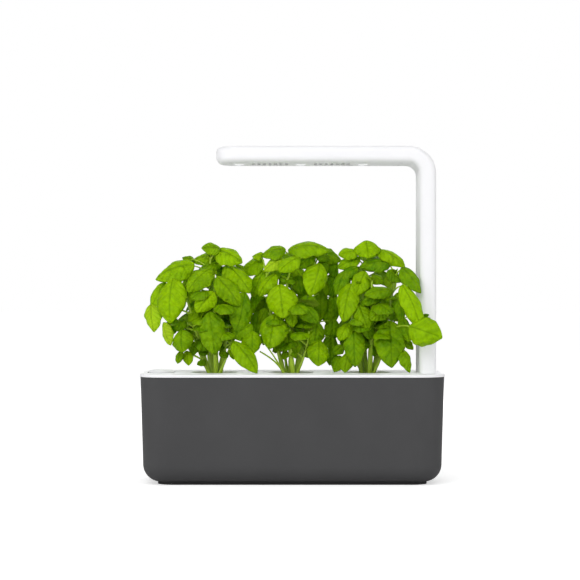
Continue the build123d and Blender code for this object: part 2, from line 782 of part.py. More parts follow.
plants = [
    (
        [
            Stem((-6, -2), (-30, -8, 86)),
            Stem((-2, 4), (-4, 6, 116)),
            Stem((2, -4), (0, -14, 98)),
            Stem((7, 2), (18, 0, 98)),
        ],
        [
            Leaf((2, 2, 117), (28, -6, 106), 22, 50, (0.2, -0.7, 0.7), 1),
            Leaf((-20, 2, 106), (-58, 0, 93), 23, 65, (-0.3, -0.65, 0.75), 1),
            Leaf((-3, -12, 104), (-26, -22, 80), 25, 60, (-0.3, -0.85, 0.5), 2),
            Leaf((-40, -12, 88), (-43, -20, 50), 29, 55, (-0.3, -0.9, 0.3), 0),
            Leaf((-50, 4, 82), (-62, 2, 59), 17, 50, (-0.6, -0.7, 0.3), 0),
            Leaf((12, 2, 104), (35, -8, 79), 24, 50, (0.4, -0.8, 0.5), 3),
            Leaf((-4, -26, 61), (2, -32, 18), 27, 45, (0, -1, 0.15), 2),
            Leaf((-31, -16, 43), (-31, -22, 20), 21, 40, (-0.3, -0.9, 0.2), 0),
            Leaf((31, -14, 77), (21, -24, 41), 22, 45, (0.3, -0.9, 0.2), 3),
            Leaf((24, -32, 30), (45, -40, 2), 15, 50, (0.6, -0.7, 0.4), 3),
            Leaf((-10, 14, 102), (-34, 34, 86), 27, 60, (-0.4, 0.6, 0.8), 1),
            Leaf((8, 14, 98), (16, 42, 80), 26, 55, (0.3, 0.7, 0.7), 1),
            Leaf((-16, 14, 62), (-34, 40, 44), 27, 55, (-0.4, 0.8, 0.5), 0),
            Leaf((6, 12, 46), (12, 42, 26), 25, 50, (0.2, 0.9, 0.5), 3),
        ],
    ),
    (
        [
            Stem((-6, -2), (-24, 2, 100)),
            Stem((-1, 4), (2, 4, 117)),
            Stem((2, -5), (-4, -14, 94)),
            Stem((6, 1), (22, 4, 104)),
        ],
        [
            Leaf((-2, 0, 120), (38, -4, 120), 24, 75, (0, -0.5, 0.9), 1),
            Leaf((-5, 0, 120), (-29, -4, 114), 20, 60, (-0.1, -0.6, 0.8), 1),
            Leaf((-29, 10, 112), (-49, 13, 100), 15, 45, (-0.3, -0.5, 0.8), 0),
            Leaf((-15, -6, 99), (-32, -8, 76), 20, 50, (-0.5, -0.7, 0.4), 0),
            Leaf((-11, -18, 88), (-7, -30, 54), 32, 50, (-0.1, -0.95, 0.3), 2),
            Leaf((-15, -20, 58), (-21, -30, 24), 30, 45, (-0.2, -0.95, 0.3), 0),
            Leaf((29, -4, 109), (19, -16, 76), 26, 50, (0.3, -0.9, 0.3), 3),
            Leaf((26, 15, 116), (50, 18, 108), 19, 50, (0.2, -0.6, 0.7), 3),
            Leaf((7, -14, 70), (27, -22, 49), 20, 45, (0.3, -0.85, 0.45), 2),
            Leaf((28, -10, 33), (27, -20, 7), 23, 45, (0.2, -0.9, 0.4), 3),
            Leaf((-8, 12, 106), (-22, 38, 90), 25, 55, (-0.4, 0.7, 0.7), 1),
            Leaf((10, 14, 100), (20, 42, 84), 25, 55, (0.3, 0.7, 0.7), 1),
            Leaf((-14, 12, 60), (-26, 38, 40), 25, 50, (-0.4, 0.8, 0.5), 0),
            Leaf((10, 12, 46), (16, 42, 26), 25, 50, (0.3, 0.9, 0.5), 3),
        ],
    ),
    (
        [
            Stem((-6, -2), (-18, -6, 94)),
            Stem((-1, 4), (-2, 4, 119)),
            Stem((2, -5), (4, -16, 92)),
            Stem((7, 1), (28, -4, 100)),
        ],
        [
            Leaf((-1, 0, 131), (1, -10, 113), 25, 45, (0, -0.85, 0.5), 1),
            Leaf((10, 6, 123), (37, 1, 105), 17, 60, (0.3, -0.6, 0.8), 1),
            Leaf((24, 0, 110), (-8, -5, 105), 21, 60, (0, -0.75, 0.65), 3),
            Leaf((32, -24, 103), (48, -37, 79), 17, 45, (0.4, -0.85, 0.35), 3),
            Leaf((33, -40, 86), (48, -48, 45), 18, 45, (0.3, -0.9, 0.3), 3),
            Leaf((43, -52, 51), (73, -56, 40), 27, 45, (0.1, -0.95, 0.2), 3),
            Leaf((21, -24, 52), (23, -33, 6), 30, 40, (0.1, -1, 0.2), 2),
            Leaf((25, -22, 82), (-4, -28, 77), 18, 55, (0, -0.7, 0.7), 2),
            Leaf((-16, -14, 89), (-25, -24, 50), 24, 50, (-0.3, -0.93, 0.25), 0),
            Leaf((-14, -18, 44), (-13, -28, 6), 22, 40, (-0.1, -0.98, 0.2), 0),
            Leaf((-8, 12, 106), (-20, 38, 90), 25, 55, (-0.4, 0.7, 0.7), 1),
            Leaf((12, 14, 102), (24, 40, 86), 25, 55, (0.3, 0.7, 0.7), 1),
            Leaf((-12, 12, 60), (-22, 40, 40), 25, 50, (-0.4, 0.8, 0.5), 0),
            Leaf((14, 12, 48), (24, 40, 28), 25, 50, (0.3, 0.9, 0.5), 3),
        ],
    ),
]


def blade_axes(base, tip, facing):
    """The way a blade runs from base to tip, and the way its middle faces."""
    along = (tip - base).normalized()
    return along, (facing - along * facing.dot(along)).normalized()


def make_blade(base, tip, width, bend, facing):
    """An ovate leaf blade: a bent strip cut to its outline of four arcs."""
    length = (tip - base).length
    along, up = blade_axes(base, tip, facing)
    half_bend = math.radians(bend) / 2
    radius = length / (2 * math.sin(half_bend))
    rise = radius * (1 - math.cos(half_bend))
    middle = length / 2
    sweep_angle = half_bend + blade_overrun

    def on_arc(r, angle):
        return middle + r * math.sin(angle), rise - radius + r * math.cos(angle)

    inner = radius - leaf_thick
    strip_side = Curve() + [
        ThreePointArc(on_arc(radius, -sweep_angle), on_arc(radius, 0), on_arc(radius, sweep_angle)),
        Line(on_arc(radius, sweep_angle), on_arc(inner, sweep_angle)),
        ThreePointArc(on_arc(inner, sweep_angle), on_arc(inner, 0), on_arc(inner, -sweep_angle)),
        Line(on_arc(inner, -sweep_angle), on_arc(radius, -sweep_angle)),
    ]
    strip = extrude(Plane.XZ * make_face(strip_side), amount=width, both=True)
    shoulder, widest, waist = [
        (share_x * length, share_y * width)
        for share_x, share_y in (blade_shoulder, blade_widest, blade_waist)
    ]
    outline = Curve() + [
        ThreePointArc((0, 0), shoulder, widest),
        ThreePointArc(widest, waist, (length, 0)),
        ThreePointArc((length, 0), (waist[0], -waist[1]), (widest[0], -widest[1])),
        ThreePointArc((widest[0], -widest[1]), (shoulder[0], -shoulder[1]), (0, 0)),
    ]
    depth = leaf_thick + blade_cut
    cutter = extrude(Plane.XY.offset(-depth) * make_face(outline), amount=rise + depth + blade_cut)
    return Plane(origin=base, x_dir=along, z_dir=up) * (strip & cutter)


def bar_between(start, end, size):
    """A square bar from one point to another."""
    run = end - start
    low = (Align.CENTER, Align.CENTER, Align.MIN)
    return Plane(origin=start, z_dir=run) * Box(size, size, run.length, align=low)


def make_plant(x, stems, leaves):
    """One pod's plant: its stems with every leaf and stalk grown from them."""
    pod = Vector(x, 0, lid_top)
    rods = []
    lines = []
    for stem in stems:
        foot = Vector(x + stem.foot[0], stem.foot[1], medium_top)
        tip = pod + Vector(*stem.tip)
        run = tip - foot
        taper = math.degrees(math.atan((stem_foot_r - stem_tip_r) / run.length))
        section = Plane(origin=foot, z_dir=run) * RegularPolygon(stem_foot_r, stem_sides)
        rod = extrude(section, amount=run.length, taper=taper)
        rod -= block(x - cup_top_r, x + cup_top_r, -cup_top_r, cup_top_r, cup_foot, medium_top)
        rods.append(rod)
        lines.append((foot, run))
    grown = []
    for leaf in leaves:
        base = pod + Vector(*leaf.base)
        tip = pod + Vector(*leaf.tip)
        facing = Vector(*leaf.facing)
        grown.append(make_blade(base, tip, leaf.width, leaf.bend, facing))
        foot, run = lines[leaf.stem]
        share = (base.Z - petiole_rise - foot.Z) / run.Z
        joint = foot + run * min(max(share, petiole_low), petiole_high)
        along, up = blade_axes(base, tip, facing)
        lean = math.radians(leaf.bend) / 2
        start_way = along * math.cos(lean) + up * math.sin(lean)
        seat = base + start_way * petiole_bite - up * leaf_thick
        grown.append(bar_between(joint, seat, petiole_size))
    pieces = [solid for shape in rods[1:] + grown for solid in shape.solids()]
    return rods[0].solids()[0].fuse(*pieces)


# ---- Write every node ----
os.makedirs("parts", exist_ok=True)

save("water_tank", make_tank())
save("base_ring", make_base_ring())

save("lid", make_lid())
save("arm_socket", make_arm_socket())
save("socket_contacts", *make_socket_contacts())
save("wiring_bay", make_wiring_bay())
save("wiring_bay_screws", *[screw(x, y, bay_foot - screw_head_thick) for x, y in bay_screw_places()])
save("power_jack", make_power_jack())
save("jack_pin", make_jack_pin())
save("lid_lead", *make_lid_lead())

save("float_guide", make_float_guide())
save("float_cap", make_float_cap())
save("float_body", make_float_body())

for number, (x, (stems, leaves)) in enumerate(zip(pod_x, plants), start=1):
    save(f"plant_cup_{number}", make_cup(x))
    save(f"growing_medium_{number}", make_medium(x))
    save(f"wick_{number}", make_wick(x))
    save(f"pod_collar_{number}", make_collar(x))
    save(f"basil_plant_{number}", make_plant(x, stems, leaves))

for name, foot in zip(("lower", "upper"), extension_foot):
    core_top = foot + extension_length - tongue_length - seat_gap
    save(f"{name}_extension", make_arm_tube(foot))
    save(f"{name}_extension_core", make_arm_core(foot, core_top))
    save(f"{name}_extension_contacts", *make_arm_contacts(foot, core_top))

save("lamp_housing", make_lamp_housing())
save("lamp_core", make_arm_core(lamp_foot, lamp_foot + lamp_core_rise))
save("lamp_contacts", *make_arm_contacts(lamp_foot, lamp_foot + lamp_core_rise))
save("lamp_lead", *make_lamp_lead())
save("lamp_cover", make_lamp_cover())
save("lamp_cover_screws", *[screw(x, y, lamp_under) for x, y in cover_screws])
save("light_lenses", *[make_lens(x) for x in light_x])

half_chip = chip_size / 2
save(
    "light_chips",
    *[block(x - half_chip, x + half_chip, -half_chip, half_chip, chip_foot, board_foot)
      for x in light_x],
)
board_start = light_x[0] - board_end
board_stop = light_x[-1] + board_end
save(
    "light_board",
    block(board_start, board_stop, -board_width / 2, board_width / 2, board_foot, spreader_foot),
)
save(
    "heat_spreader",
    block(board_start, board_stop, -spreader_width / 2, spreader_width / 2, spreader_foot, roof),
)
save("timer_board", make_driver_board())
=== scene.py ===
"""Finishes and plants of a countertop hydroponic garden, on its construction model.

Lengths are metres in the scene and millimetres in the plants' own tables. +Z is up, -Y is the
front and +X is the end that carries the lamp arm.
"""

import logging
import math
from dataclasses import dataclass, field
from enum import Enum
from functools import partial
from typing import Any, Callable, Iterable, NamedTuple, Optional

import bpy
import numpy as np
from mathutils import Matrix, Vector


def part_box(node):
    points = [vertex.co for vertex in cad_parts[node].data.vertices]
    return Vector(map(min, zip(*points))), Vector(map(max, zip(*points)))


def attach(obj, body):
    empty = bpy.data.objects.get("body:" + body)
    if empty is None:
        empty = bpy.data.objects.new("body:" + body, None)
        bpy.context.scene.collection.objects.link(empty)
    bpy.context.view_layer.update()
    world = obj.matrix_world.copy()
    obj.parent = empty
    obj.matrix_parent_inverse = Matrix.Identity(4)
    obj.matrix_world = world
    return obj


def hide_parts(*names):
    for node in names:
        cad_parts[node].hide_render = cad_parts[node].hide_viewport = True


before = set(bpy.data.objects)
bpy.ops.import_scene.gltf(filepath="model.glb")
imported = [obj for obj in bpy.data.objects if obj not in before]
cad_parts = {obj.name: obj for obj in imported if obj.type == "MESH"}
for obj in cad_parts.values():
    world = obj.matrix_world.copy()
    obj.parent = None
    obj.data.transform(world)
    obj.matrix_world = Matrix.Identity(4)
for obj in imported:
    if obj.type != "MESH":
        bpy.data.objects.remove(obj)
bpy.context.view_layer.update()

MM = 0.001
UP = np.array([0.0, 0.0, 1.0])
FRONT = np.array([0.0, -1.0, 0.0])
Point = tuple[float, float, float]
Socket = bpy.types.NodeSocket
Material = bpy.types.Material

log = logging.getLogger("garden")

# Sockets of a Mix node that blends colours: its share, its two colours and its result.
SHARE, FIRST, SECOND, BLENDED = 0, 6, 7, 2
# A noise pattern's values lie mostly between these two.
USUAL = {"From Min": 0.3, "From Max": 0.7}


# ---- Colour and shader building ----
def linear(hex_colour: str) -> tuple[float, float, float, float]:
    """Turn an sRGB hex colour into linear RGBA.

    A channel c becomes c / 12.92 up to 0.04045, and ((c + 0.055) / 1.055) ** 2.4 above it.

    Args:
        hex_colour: six hex digits after a hash sign.

    Returns:
        The linear red, green and blue with an alpha of 1.
    """
    channels = [int(hex_colour[i : i + 2], 16) / 255 for i in (1, 3, 5)]
    red, green, blue = (
        c / 12.92 if c <= 0.04045 else ((c + 0.055) / 1.055) ** 2.4 for c in channels
    )
    return red, green, blue, 1.0


def per_metre(size_mm: float) -> float:
    """Give a pattern's scale from the real size of its features."""
    return 1 / (size_mm * MM)


def set_inputs(
    tree: bpy.types.NodeTree, node: bpy.types.Node, inputs: dict[Any, Any]
) -> None:
    """Set or link inputs of a node.

    Args:
        tree: the tree that holds the node.
        node: the node.
        inputs: for each input, a value, a hex colour, an output socket to link, or a node
            whose first output is linked.
    """
    for key, value in inputs.items():
        if isinstance(value, str):
            value = linear(value)
        if isinstance(value, bpy.types.Node):
            value = value.outputs[0]
        if isinstance(value, Socket):
            tree.links.new(value, node.inputs[key])
        else:
            node.inputs[key].default_value = value


def add_node(
    tree: bpy.types.NodeTree,
    kind: str,
    inputs: Optional[dict[Any, Any]] = None,
    **settings: Any,
) -> bpy.types.Node:
    """Add one shader node with its settings, values and links.

    Args:
        tree: the node tree.
        kind: the node's type name without the ShaderNode that starts it.
        inputs: what set_inputs takes.
        **settings: properties of the node itself.

    Returns:
        The new node.
    """
    node = tree.nodes.new("ShaderNode" + kind)
    for name, value in settings.items():
        setattr(node, name, value)
    set_inputs(tree, node, inputs or {})
    return node


class Shader:
    """A new material with what every finish starts from.

    Attributes:
        material: the material.
        tree: its node tree.
        add: add_node, bound to the tree.
        surface: its Principled node.
        output: its output node.
        place: the socket of Object coordinates.
    """

    def __init__(self, name: str) -> None:
        """Start the material.

        Args:
            name: the finish's name.
        """
        self.material = bpy.data.materials.new(name)
        self.material.use_nodes = True
        self.tree = self.material.node_tree
        self.tree.nodes.clear()
        self.add = partial(add_node, self.tree)
        self.surface = self.add("BsdfPrincipled")
        self.output = self.add("OutputMaterial", {"Surface": self.surface})
        self.place = self.add("TexCoord").outputs["Object"]

    def finish(self, inputs: dict[Any, Any]) -> Material:
        """Set or link the surface's inputs and give the material."""
        set_inputs(self.tree, self.surface, inputs)
        return self.material


# ---- Finishes ----
@dataclass(frozen=True)
class MouldedPlastic:
    """Injection-moulded plastic: an even colour, a fine spark-eroded grain and soft edges.

    The grain breaks up reflections. It is finer on the real part, and is drawn as coarse as
    it needs to show.
    """

    name: str
    colour: str
    worn: str
    roughness: float
    grain_mm: float = 0.7
    depth_mm: float = 0.012
    edge_mm: float = 0.35
    specular: float = 0.5
    cloud_mm: float = 38.0
    cloud_share: float = 0.5
    swing: float = 0.04
    ior: float = 1.5

    def make(self) -> Material:
        """Build the material.

        Returns:
            The material.
        """
        shader = Shader(self.name)
        add, place = shader.add, shader.place
        cloud = add(
            "TexNoise", {"Vector": place, "Scale": per_metre(self.cloud_mm), "Detail": 2.0}
        )
        grain = add(
            "TexNoise", {"Vector": place, "Scale": per_metre(self.grain_mm), "Detail": 2.0}
        )
        wear = add("MapRange", {"Value": cloud, **USUAL, "To Max": self.cloud_share})
        tint = add(
            "Mix", {SHARE: wear, FIRST: self.colour, SECOND: self.worn}, data_type="RGBA"
        )
        low, high = self.roughness - self.swing, self.roughness + self.swing
        dull = add("MapRange", {"Value": grain, **USUAL, "To Min": low, "To Max": high})
        edge = add("Bevel", {"Radius": self.edge_mm * MM}, samples=4)
        relief = {"Height": grain, "Distance": self.depth_mm * MM, "Normal": edge}
        return shader.finish(
            {
                "Base Color": tint.outputs[BLENDED],
                "Roughness": dull,
                "IOR": self.ior,
                "Specular IOR Level": self.specular,
                "Normal": add("Bump", relief),
            }
        )


@dataclass(frozen=True)
class BareMetal:
    """Drawn or rolled metal: fine lines along one axis that stretch the reflections.

    The lines are finer on the real metal, and are drawn as coarse as they need to show.
    """

    name: str
    colour: str
    roughness: float
    line_mm: float
    stretch: Point
    smoother: float = 0.08
    rougher: float = 0.1
    depth_mm: float = 0.01

    def make(self) -> Material:
        """Build the material.

        Returns:
            The material.
        """
        shader = Shader(self.name)
        add = shader.add
        drawn = add("Mapping", {"Vector": shader.place, "Scale": self.stretch})
        lines = add(
            "TexNoise", {"Vector": drawn, "Scale": per_metre(self.line_mm), "Detail": 3.0}
        )
        low, high = self.roughness - self.smoother, self.roughness + self.rougher
        dull = add("MapRange", {"Value": lines, **USUAL, "To Min": low, "To Max": high})
        return shader.finish(
            {
                "Base Color": self.colour,
                "Metallic": 1.0,
                "Roughness": dull,
                "Normal": add("Bump", {"Height": lines, "Distance": self.depth_mm * MM}),
            }
        )


@dataclass(frozen=True)
class ClearLens:
    """Moulded acrylic, frosted so that the light's chip shows only as a glow.

    The frosting is finer on the real lens, and is drawn as coarse as it needs to show.
    """

    name: str
    colour: str
    glow: float
    frost_mm: float = 0.9
    depth_mm: float = 0.01
    smoothest: float = 0.1
    roughest: float = 0.2
    ior: float = 1.49
    lacquer: float = 0.6
    lacquer_roughness: float = 0.05

    def make(self) -> Material:
        """Build the material.

        Returns:
            The material.
        """
        shader = Shader(self.name)
        add = shader.add
        frost = add(
            "TexNoise",
            {"Vector": shader.place, "Scale": per_metre(self.frost_mm), "Detail": 2.0},
        )
        low, high = self.smoothest, self.roughest
        dull = add("MapRange", {"Value": frost, **USUAL, "To Min": low, "To Max": high})
        return shader.finish(
            {
                "Base Color": self.colour,
                "Roughness": dull,
                "IOR": self.ior,
                "Coat Weight": self.lacquer,
                "Coat Roughness": self.lacquer_roughness,
                "Emission Color": self.colour,
                "Emission Strength": self.glow,
                "Normal": add("Bump", {"Height": frost, "Distance": self.depth_mm * MM}),
            }
        )


@dataclass(frozen=True)
class Fibrous:
    """Felt, paper or card: matted fibres of one colour over another, and no gloss.

    The fibres are finer in the real sheet, and are drawn as coarse as they need to show.
    """

    name: str
    colour: str
    fibre: str
    fibre_mm: float
    depth_mm: float
    roughness: float = 0.9
    tangle: float = 2.5

    def make(self) -> Material:
        """Build the material.

        Returns:
            The material.
        """
        shader = Shader(self.name)
        add, place = shader.add, shader.place
        matted = add(
            "TexNoise", {"Vector": place, "Scale": per_metre(self.fibre_mm), "Detail": 6.0}
        )
        # The colours change over twice a fibre's size, in twisted streaks.
        streaks = add(
            "TexNoise",
            {"Vector": place, "Scale": 0.5 * per_metre(self.fibre_mm), "Detail": 4.0,
             "Distortion": self.tangle},
        )
        share = add("MapRange", {"Value": streaks, **USUAL})
        tint = add(
            "Mix", {SHARE: share, FIRST: self.colour, SECOND: self.fibre}, data_type="RGBA"
        )
        return shader.finish(
            {
                "Base Color": tint.outputs[BLENDED],
                "Roughness": self.roughness,
                "Normal": add("Bump", {"Height": matted, "Distance": self.depth_mm * MM}),
            }
        )


@dataclass(frozen=True)
class Crumbly:
    """Peat plug or closed-cell foam: crumbs or cells of two tones, with gaps painted dark as
    shade.
    """

    name: str
    colour: str
    light: str
    gap_shade: str
    crumb_mm: float
    depth_mm: float
    gap_start: float = 0.35
    gap_full: float = 0.85
    roughness: float = 0.95

    def make(self) -> Material:
        """Build the material.

        Returns:
            The material.
        """
        shader = Shader(self.name)
        add, place = shader.add, shader.place
        cells = add("TexVoronoi", {"Vector": place, "Scale": per_metre(self.crumb_mm)})
        # The tone changes over four crumbs.
        clouds = add(
            "TexNoise",
            {"Vector": place, "Scale": per_metre(4 * self.crumb_mm), "Detail": 5.0},
        )
        share = add("MapRange", {"Value": clouds, **USUAL})
        crumbs = add(
            "Mix", {SHARE: share, FIRST: self.colour, SECOND: self.light}, data_type="RGBA"
        )
        distance = cells.outputs["Distance"]
        depth = add(
            "MapRange",
            {"Value": distance, "From Min": self.gap_start, "From Max": self.gap_full},
        )
        # Painted shade: the sunken gaps between crumbs take the dark gap colour.
        tint = add(
            "Mix",
            {SHARE: depth, FIRST: crumbs.outputs[BLENDED], SECOND: self.gap_shade},
            data_type="RGBA",
        )
        height = add("Math", {0: 1.0, 1: depth}, operation="SUBTRACT")
        return shader.finish(
            {
                "Base Color": tint.outputs[BLENDED],
                "Roughness": self.roughness,
                "Normal": add("Bump", {"Height": height, "Distance": self.depth_mm * MM}),
            }
        )


@dataclass(frozen=True)
class CoatedBoard:
    """Glass-fibre laminate under solder mask: a faint weave beneath a satin lacquer."""

    name: str
    colour: str
    thread: str
    weave_mm: float
    weave_share: float = 0.25
    ripple_mm: float = 0.8
    depth_mm: float = 0.01
    roughness: float = 0.35
    lacquer: float = 0.3

    def make(self) -> Material:
        """Build the material.

        Returns:
            The material.
        """
        shader = Shader(self.name)
        add, place = shader.add, shader.place
        weave = add("TexChecker", {"Vector": place, "Scale": per_metre(self.weave_mm)})
        faint = add(
            "Math", {0: weave.outputs["Fac"], 1: self.weave_share}, operation="MULTIPLY"
        )
        tint = add(
            "Mix", {SHARE: faint, FIRST: self.colour, SECOND: self.thread}, data_type="RGBA"
        )
        ripple = add(
            "TexNoise", {"Vector": place, "Scale": per_metre(self.ripple_mm), "Detail": 2.0}
        )
        return shader.finish(
            {
                "Base Color": tint.outputs[BLENDED],
                "Roughness": self.roughness,
                "Coat Weight": self.lacquer,
                "Normal": add("Bump", {"Height": ripple, "Distance": self.depth_mm * MM}),
            }
        )


BLADE_MAP = "blade"
VEIN_LEAN = 0.3      # how far a side vein runs towards the tip, as a share of the blade
VEIN_PAIRS = 6


@dataclass(frozen=True)
class BasilLeaf:
    """Living basil leaf: glossy and puffed between sunken veins, paler and dull beneath.

    It reads the blade's own map, along it from base to tip and across it, with the painted
    light level of each leaf and the share of its underside. Light and shade are painted into
    the
    colour: a leaf goes from a shaded to a lit green with its painted light level and in random
    patches, on to the young colour as painted backlight in the lightest leaves and as a painted
    bright rim along every margin, and darker along the veins as painted crease shade. Light
    from behind also comes through it as lime, in a colour that follows the painted light level.
    """

    # Lit and shaded copies of one green, mixed by each leaf's painted light level.
    name: str
    lit_green: str
    # The young colour is painted backlight in the lightest leaves and a painted rim on every
    # margin.
    young: str
    shaded_green: str
    # Painted crease shade: the veins are coloured darker, as the shade in their sunken creases.
    beneath: str
    crease_shade: str
    through: str
    through_share: float
    vein_width: float = 0.09          # of the way from one side vein to the next
    midrib_width: tuple[float, float] = (0.015, 0.07)    # across: where it fades, and ends
    side_vein_share: float = 0.45
    crease_shade_share: float = 0.4
    patch_mm: float = 7.0
    patch_swing: float = 0.24
    backlight_from: float = 1.05          # the painted light levels where painted backlight in young colour starts and is full
    backlight_at: float = 1.6
    rim_light_from: float = 0.9          # across, out to 1 at the margin, where a bright rim is painted
    rim_light_share: float = 0.4
    beneath_share: float = 0.75
    crinkle_mm: float = 2.2
    pucker_mm: float = 11.0
    pucker: float = 20.0              # puckers, quilting and veins in units of the crinkle
    quilting: float = 1.8
    vein_depth: float = -1.1
    depth_mm: float = 0.38
    gloss: tuple[float, float] = (0.36, 0.46)
    dull_beneath: float = 0.2
    ior: float = 1.42
    specular: float = 0.13

    def veins(self, shader: Shader, along: Socket, across: Socket) -> tuple[Any, Any]:
        """Add the pattern of the veins.

        A side vein lies where along - lean * across is a whole number of vein spacings.

        Args:
            shader: the material's parts.
            along: the place along the blade, 0 at its base and 1 at its tip.
            across: the distance from the midrib, 1 at the margin.

        Returns:
            The distance to the nearest side vein, and the share of vein at each place.
        """
        add = shader.add
        lean = add("Math", {0: across, 1: -VEIN_LEAN * VEIN_PAIRS}, operation="MULTIPLY")
        phase = add("Math", {0: along, 1: float(VEIN_PAIRS), 2: lean}, operation="MULTIPLY_ADD")
        near = add("Math", {0: phase, 1: 0.5}, operation="PINGPONG")
        side = add(
            "MapRange",
            {"Value": near, "From Max": self.vein_width, "To Min": 1.0, "To Max": 0.0},
        )
        inner, outer = self.midrib_width
        midrib = add(
            "MapRange",
            {"Value": across, "From Min": inner, "From Max": outer, "To Min": 1.0,
             "To Max": 0.0},
        )
        side = add("Math", {0: side, 1: self.side_vein_share}, operation="MULTIPLY")
        return near, add("Math", {0: side, 1: midrib}, operation="MAXIMUM")

    def make(self) -> Material:
        """Build the material.

        Returns:
            The material.
        """
        shader = Shader(self.name)
        add, place = shader.add, shader.place
        split = add("SeparateXYZ", {0: add("UVMap", uv_map=BLADE_MAP)})
        along = split.outputs[0]
        centred = add("Math", {0: split.outputs[1], 1: 2.0, 2: -1.0}, operation="MULTIPLY_ADD")
        across = add("Math", {0: centred}, operation="ABSOLUTE")
        painted_light = add("Attribute", attribute_name="painted_light").outputs["Fac"]
        under = add("Attribute", attribute_name="under").outputs["Fac"]
        near_vein, veins = self.veins(shader, along, across)

        cloud = add(
            "TexNoise", {"Vector": place, "Scale": per_metre(self.patch_mm), "Detail": 5.0}
        )
        low, high = -self.patch_swing, self.patch_swing
        patches = add("MapRange", {"Value": cloud, **USUAL, "To Min": low, "To Max": high})
        lit = add("Math", {0: painted_light, 1: patches}, operation="ADD", use_clamp=True)
        painted_backlight = add(
            "MapRange", {"Value": painted_light, "From Min": self.backlight_from, "From Max": self.backlight_at}
        )
        # A bright rim of young colour, painted along every margin.
        painted_rim = add(
            "MapRange",
            {"Value": across, "From Min": self.rim_light_from, "To Max": self.rim_light_share},
        )
        beneath = add("Math", {0: under, 1: self.beneath_share}, operation="MULTIPLY")
        # Each layer goes over the one before it, by its own share.
        # Painted light: lit over shaded green, backlight and rim in young colour, crease shade
        # on veins.
        colour = self.shaded_green
        for share, layer in (
            (lit, self.lit_green),
            (add("Math", {0: painted_backlight, 1: painted_rim}, operation="MAXIMUM"), self.young),
            (add("Math", {0: veins, 1: self.crease_shade_share}, operation="MULTIPLY"), self.crease_shade),
            (beneath, self.beneath),
        ):
            mixed = add("Mix", {SHARE: share, FIRST: colour, SECOND: layer}, data_type="RGBA")
            colour = mixed.outputs[BLENDED]

        fine = {"Vector": place, "Scale": per_metre(self.crinkle_mm), "Detail": 3.0}
        broad = {"Vector": place, "Scale": per_metre(self.pucker_mm), "Detail": 2.0}
        crinkle = add("TexNoise", fine)
        height = crinkle
        for pattern, depth in (
            (near_vein, self.quilting),
            (add("TexNoise", broad), self.pucker),
            (veins, self.vein_depth),
        ):
            height = add("Math", {0: pattern, 1: depth, 2: height}, operation="MULTIPLY_ADD")
        low, high = self.gloss
        satin = add("MapRange", {"Value": crinkle, **USUAL, "To Min": low, "To Max": high})
        dull = {0: under, 1: self.dull_beneath, 2: satin}
        shader.finish(
            {
                "Base Color": colour,
                "Roughness": add("Math", dull, operation="MULTIPLY_ADD"),
                "IOR": self.ior,
                "Specular IOR Level": self.specular,
                "Normal": add("Bump", {"Height": height, "Distance": self.depth_mm * MM}),
            }
        )
        # The light through the leaf takes its colour from the painted light level too.
        lime = add(
            "Mix", {SHARE: lit, FIRST: self.shaded_green, SECOND: self.through}, data_type="RGBA"
        )
        back = add("BsdfTranslucent", {"Color": lime.outputs[BLENDED]})
        both = add("MixShader", {0: self.through_share, 1: shader.surface, 2: back})
        set_inputs(shader.tree, shader.output, {"Surface": both})
        return shader.material


@dataclass(frozen=True)
class BasilStem:
    """Fresh basil stem: pale, faintly ribbed along its length and slightly glossy."""

    name: str
    colour: str
    shade: str
    rib_mm: float = 0.9
    rib_stretch: Point = (1.0, 1.0, 0.12)
    rib_share: float = 0.8
    depth_mm: float = 0.05
    roughness: float = 0.45
    ior: float = 1.42
    glow_weight: float = 0.15
    glow_mm: Point = (0.8, 1.0, 0.2)

    def make(self) -> Material:
        """Build the material.

        Returns:
            The material.
        """
        shader = Shader(self.name)
        add = shader.add
        drawn = add("Mapping", {"Vector": shader.place, "Scale": self.rib_stretch})
        ribs = add(
            "TexNoise", {"Vector": drawn, "Scale": per_metre(self.rib_mm), "Detail": 3.0}
        )
        share = add("MapRange", {"Value": ribs, **USUAL, "To Max": self.rib_share})
        tint = add(
            "Mix", {SHARE: share, FIRST: self.colour, SECOND: self.shade}, data_type="RGBA"
        )
        return shader.finish(
            {
                "Base Color": tint.outputs[BLENDED],
                "Roughness": self.roughness,
                "IOR": self.ior,
                "Subsurface Weight": self.glow_weight,
                "Subsurface Radius": [reach * MM for reach in self.glow_mm],
                "Subsurface Scale": 1.0,
                "Normal": add("Bump", {"Height": ribs, "Distance": self.depth_mm * MM}),
            }
        )


# Satin ABS with a fine grain: the dark tub.
TANK_ABS = MouldedPlastic(
    "tank_satin_abs", "#4a4a4b", "#4f4f50", 0.5, grain_mm=0.9, specular=0.08
)
# Soft black elastomer foot, nearly matt.
FOOT_TPE = MouldedPlastic("foot_elastomer", "#222223", "#29292a", 0.7, grain_mm=0.6)
# Fine-textured white ABS of the lid, arm and lamp: bright, with a soft sheen.
WHITE_ABS = MouldedPlastic(
    "white_abs", "#f6f6f8", "#f3f3f5", 0.45, depth_mm=0.008, specular=0.35
)
# Black ABS of what sits inside.
BLACK_ABS = MouldedPlastic("black_abs", "#222224", "#2a2a2c", 0.5)
# Soft black PVC round the leads, with a low sheen.
PVC_SLEEVE = MouldedPlastic("pvc_sleeve", "#232324", "#2c2c2d", 0.4, edge_mm=0.2)
# Drawn brass contacts: warm, with lines along their length.
BRASS = BareMetal("drawn_brass", "#d9b45b", 0.28, 0.5, (1.0, 1.0, 0.1))
# Zinc-plated screws: pale grey, evenly frosted.
STEEL = BareMetal("zinc_plated_steel", "#c9cbcd", 0.3, 0.5, (1.0, 1.0, 1.0))
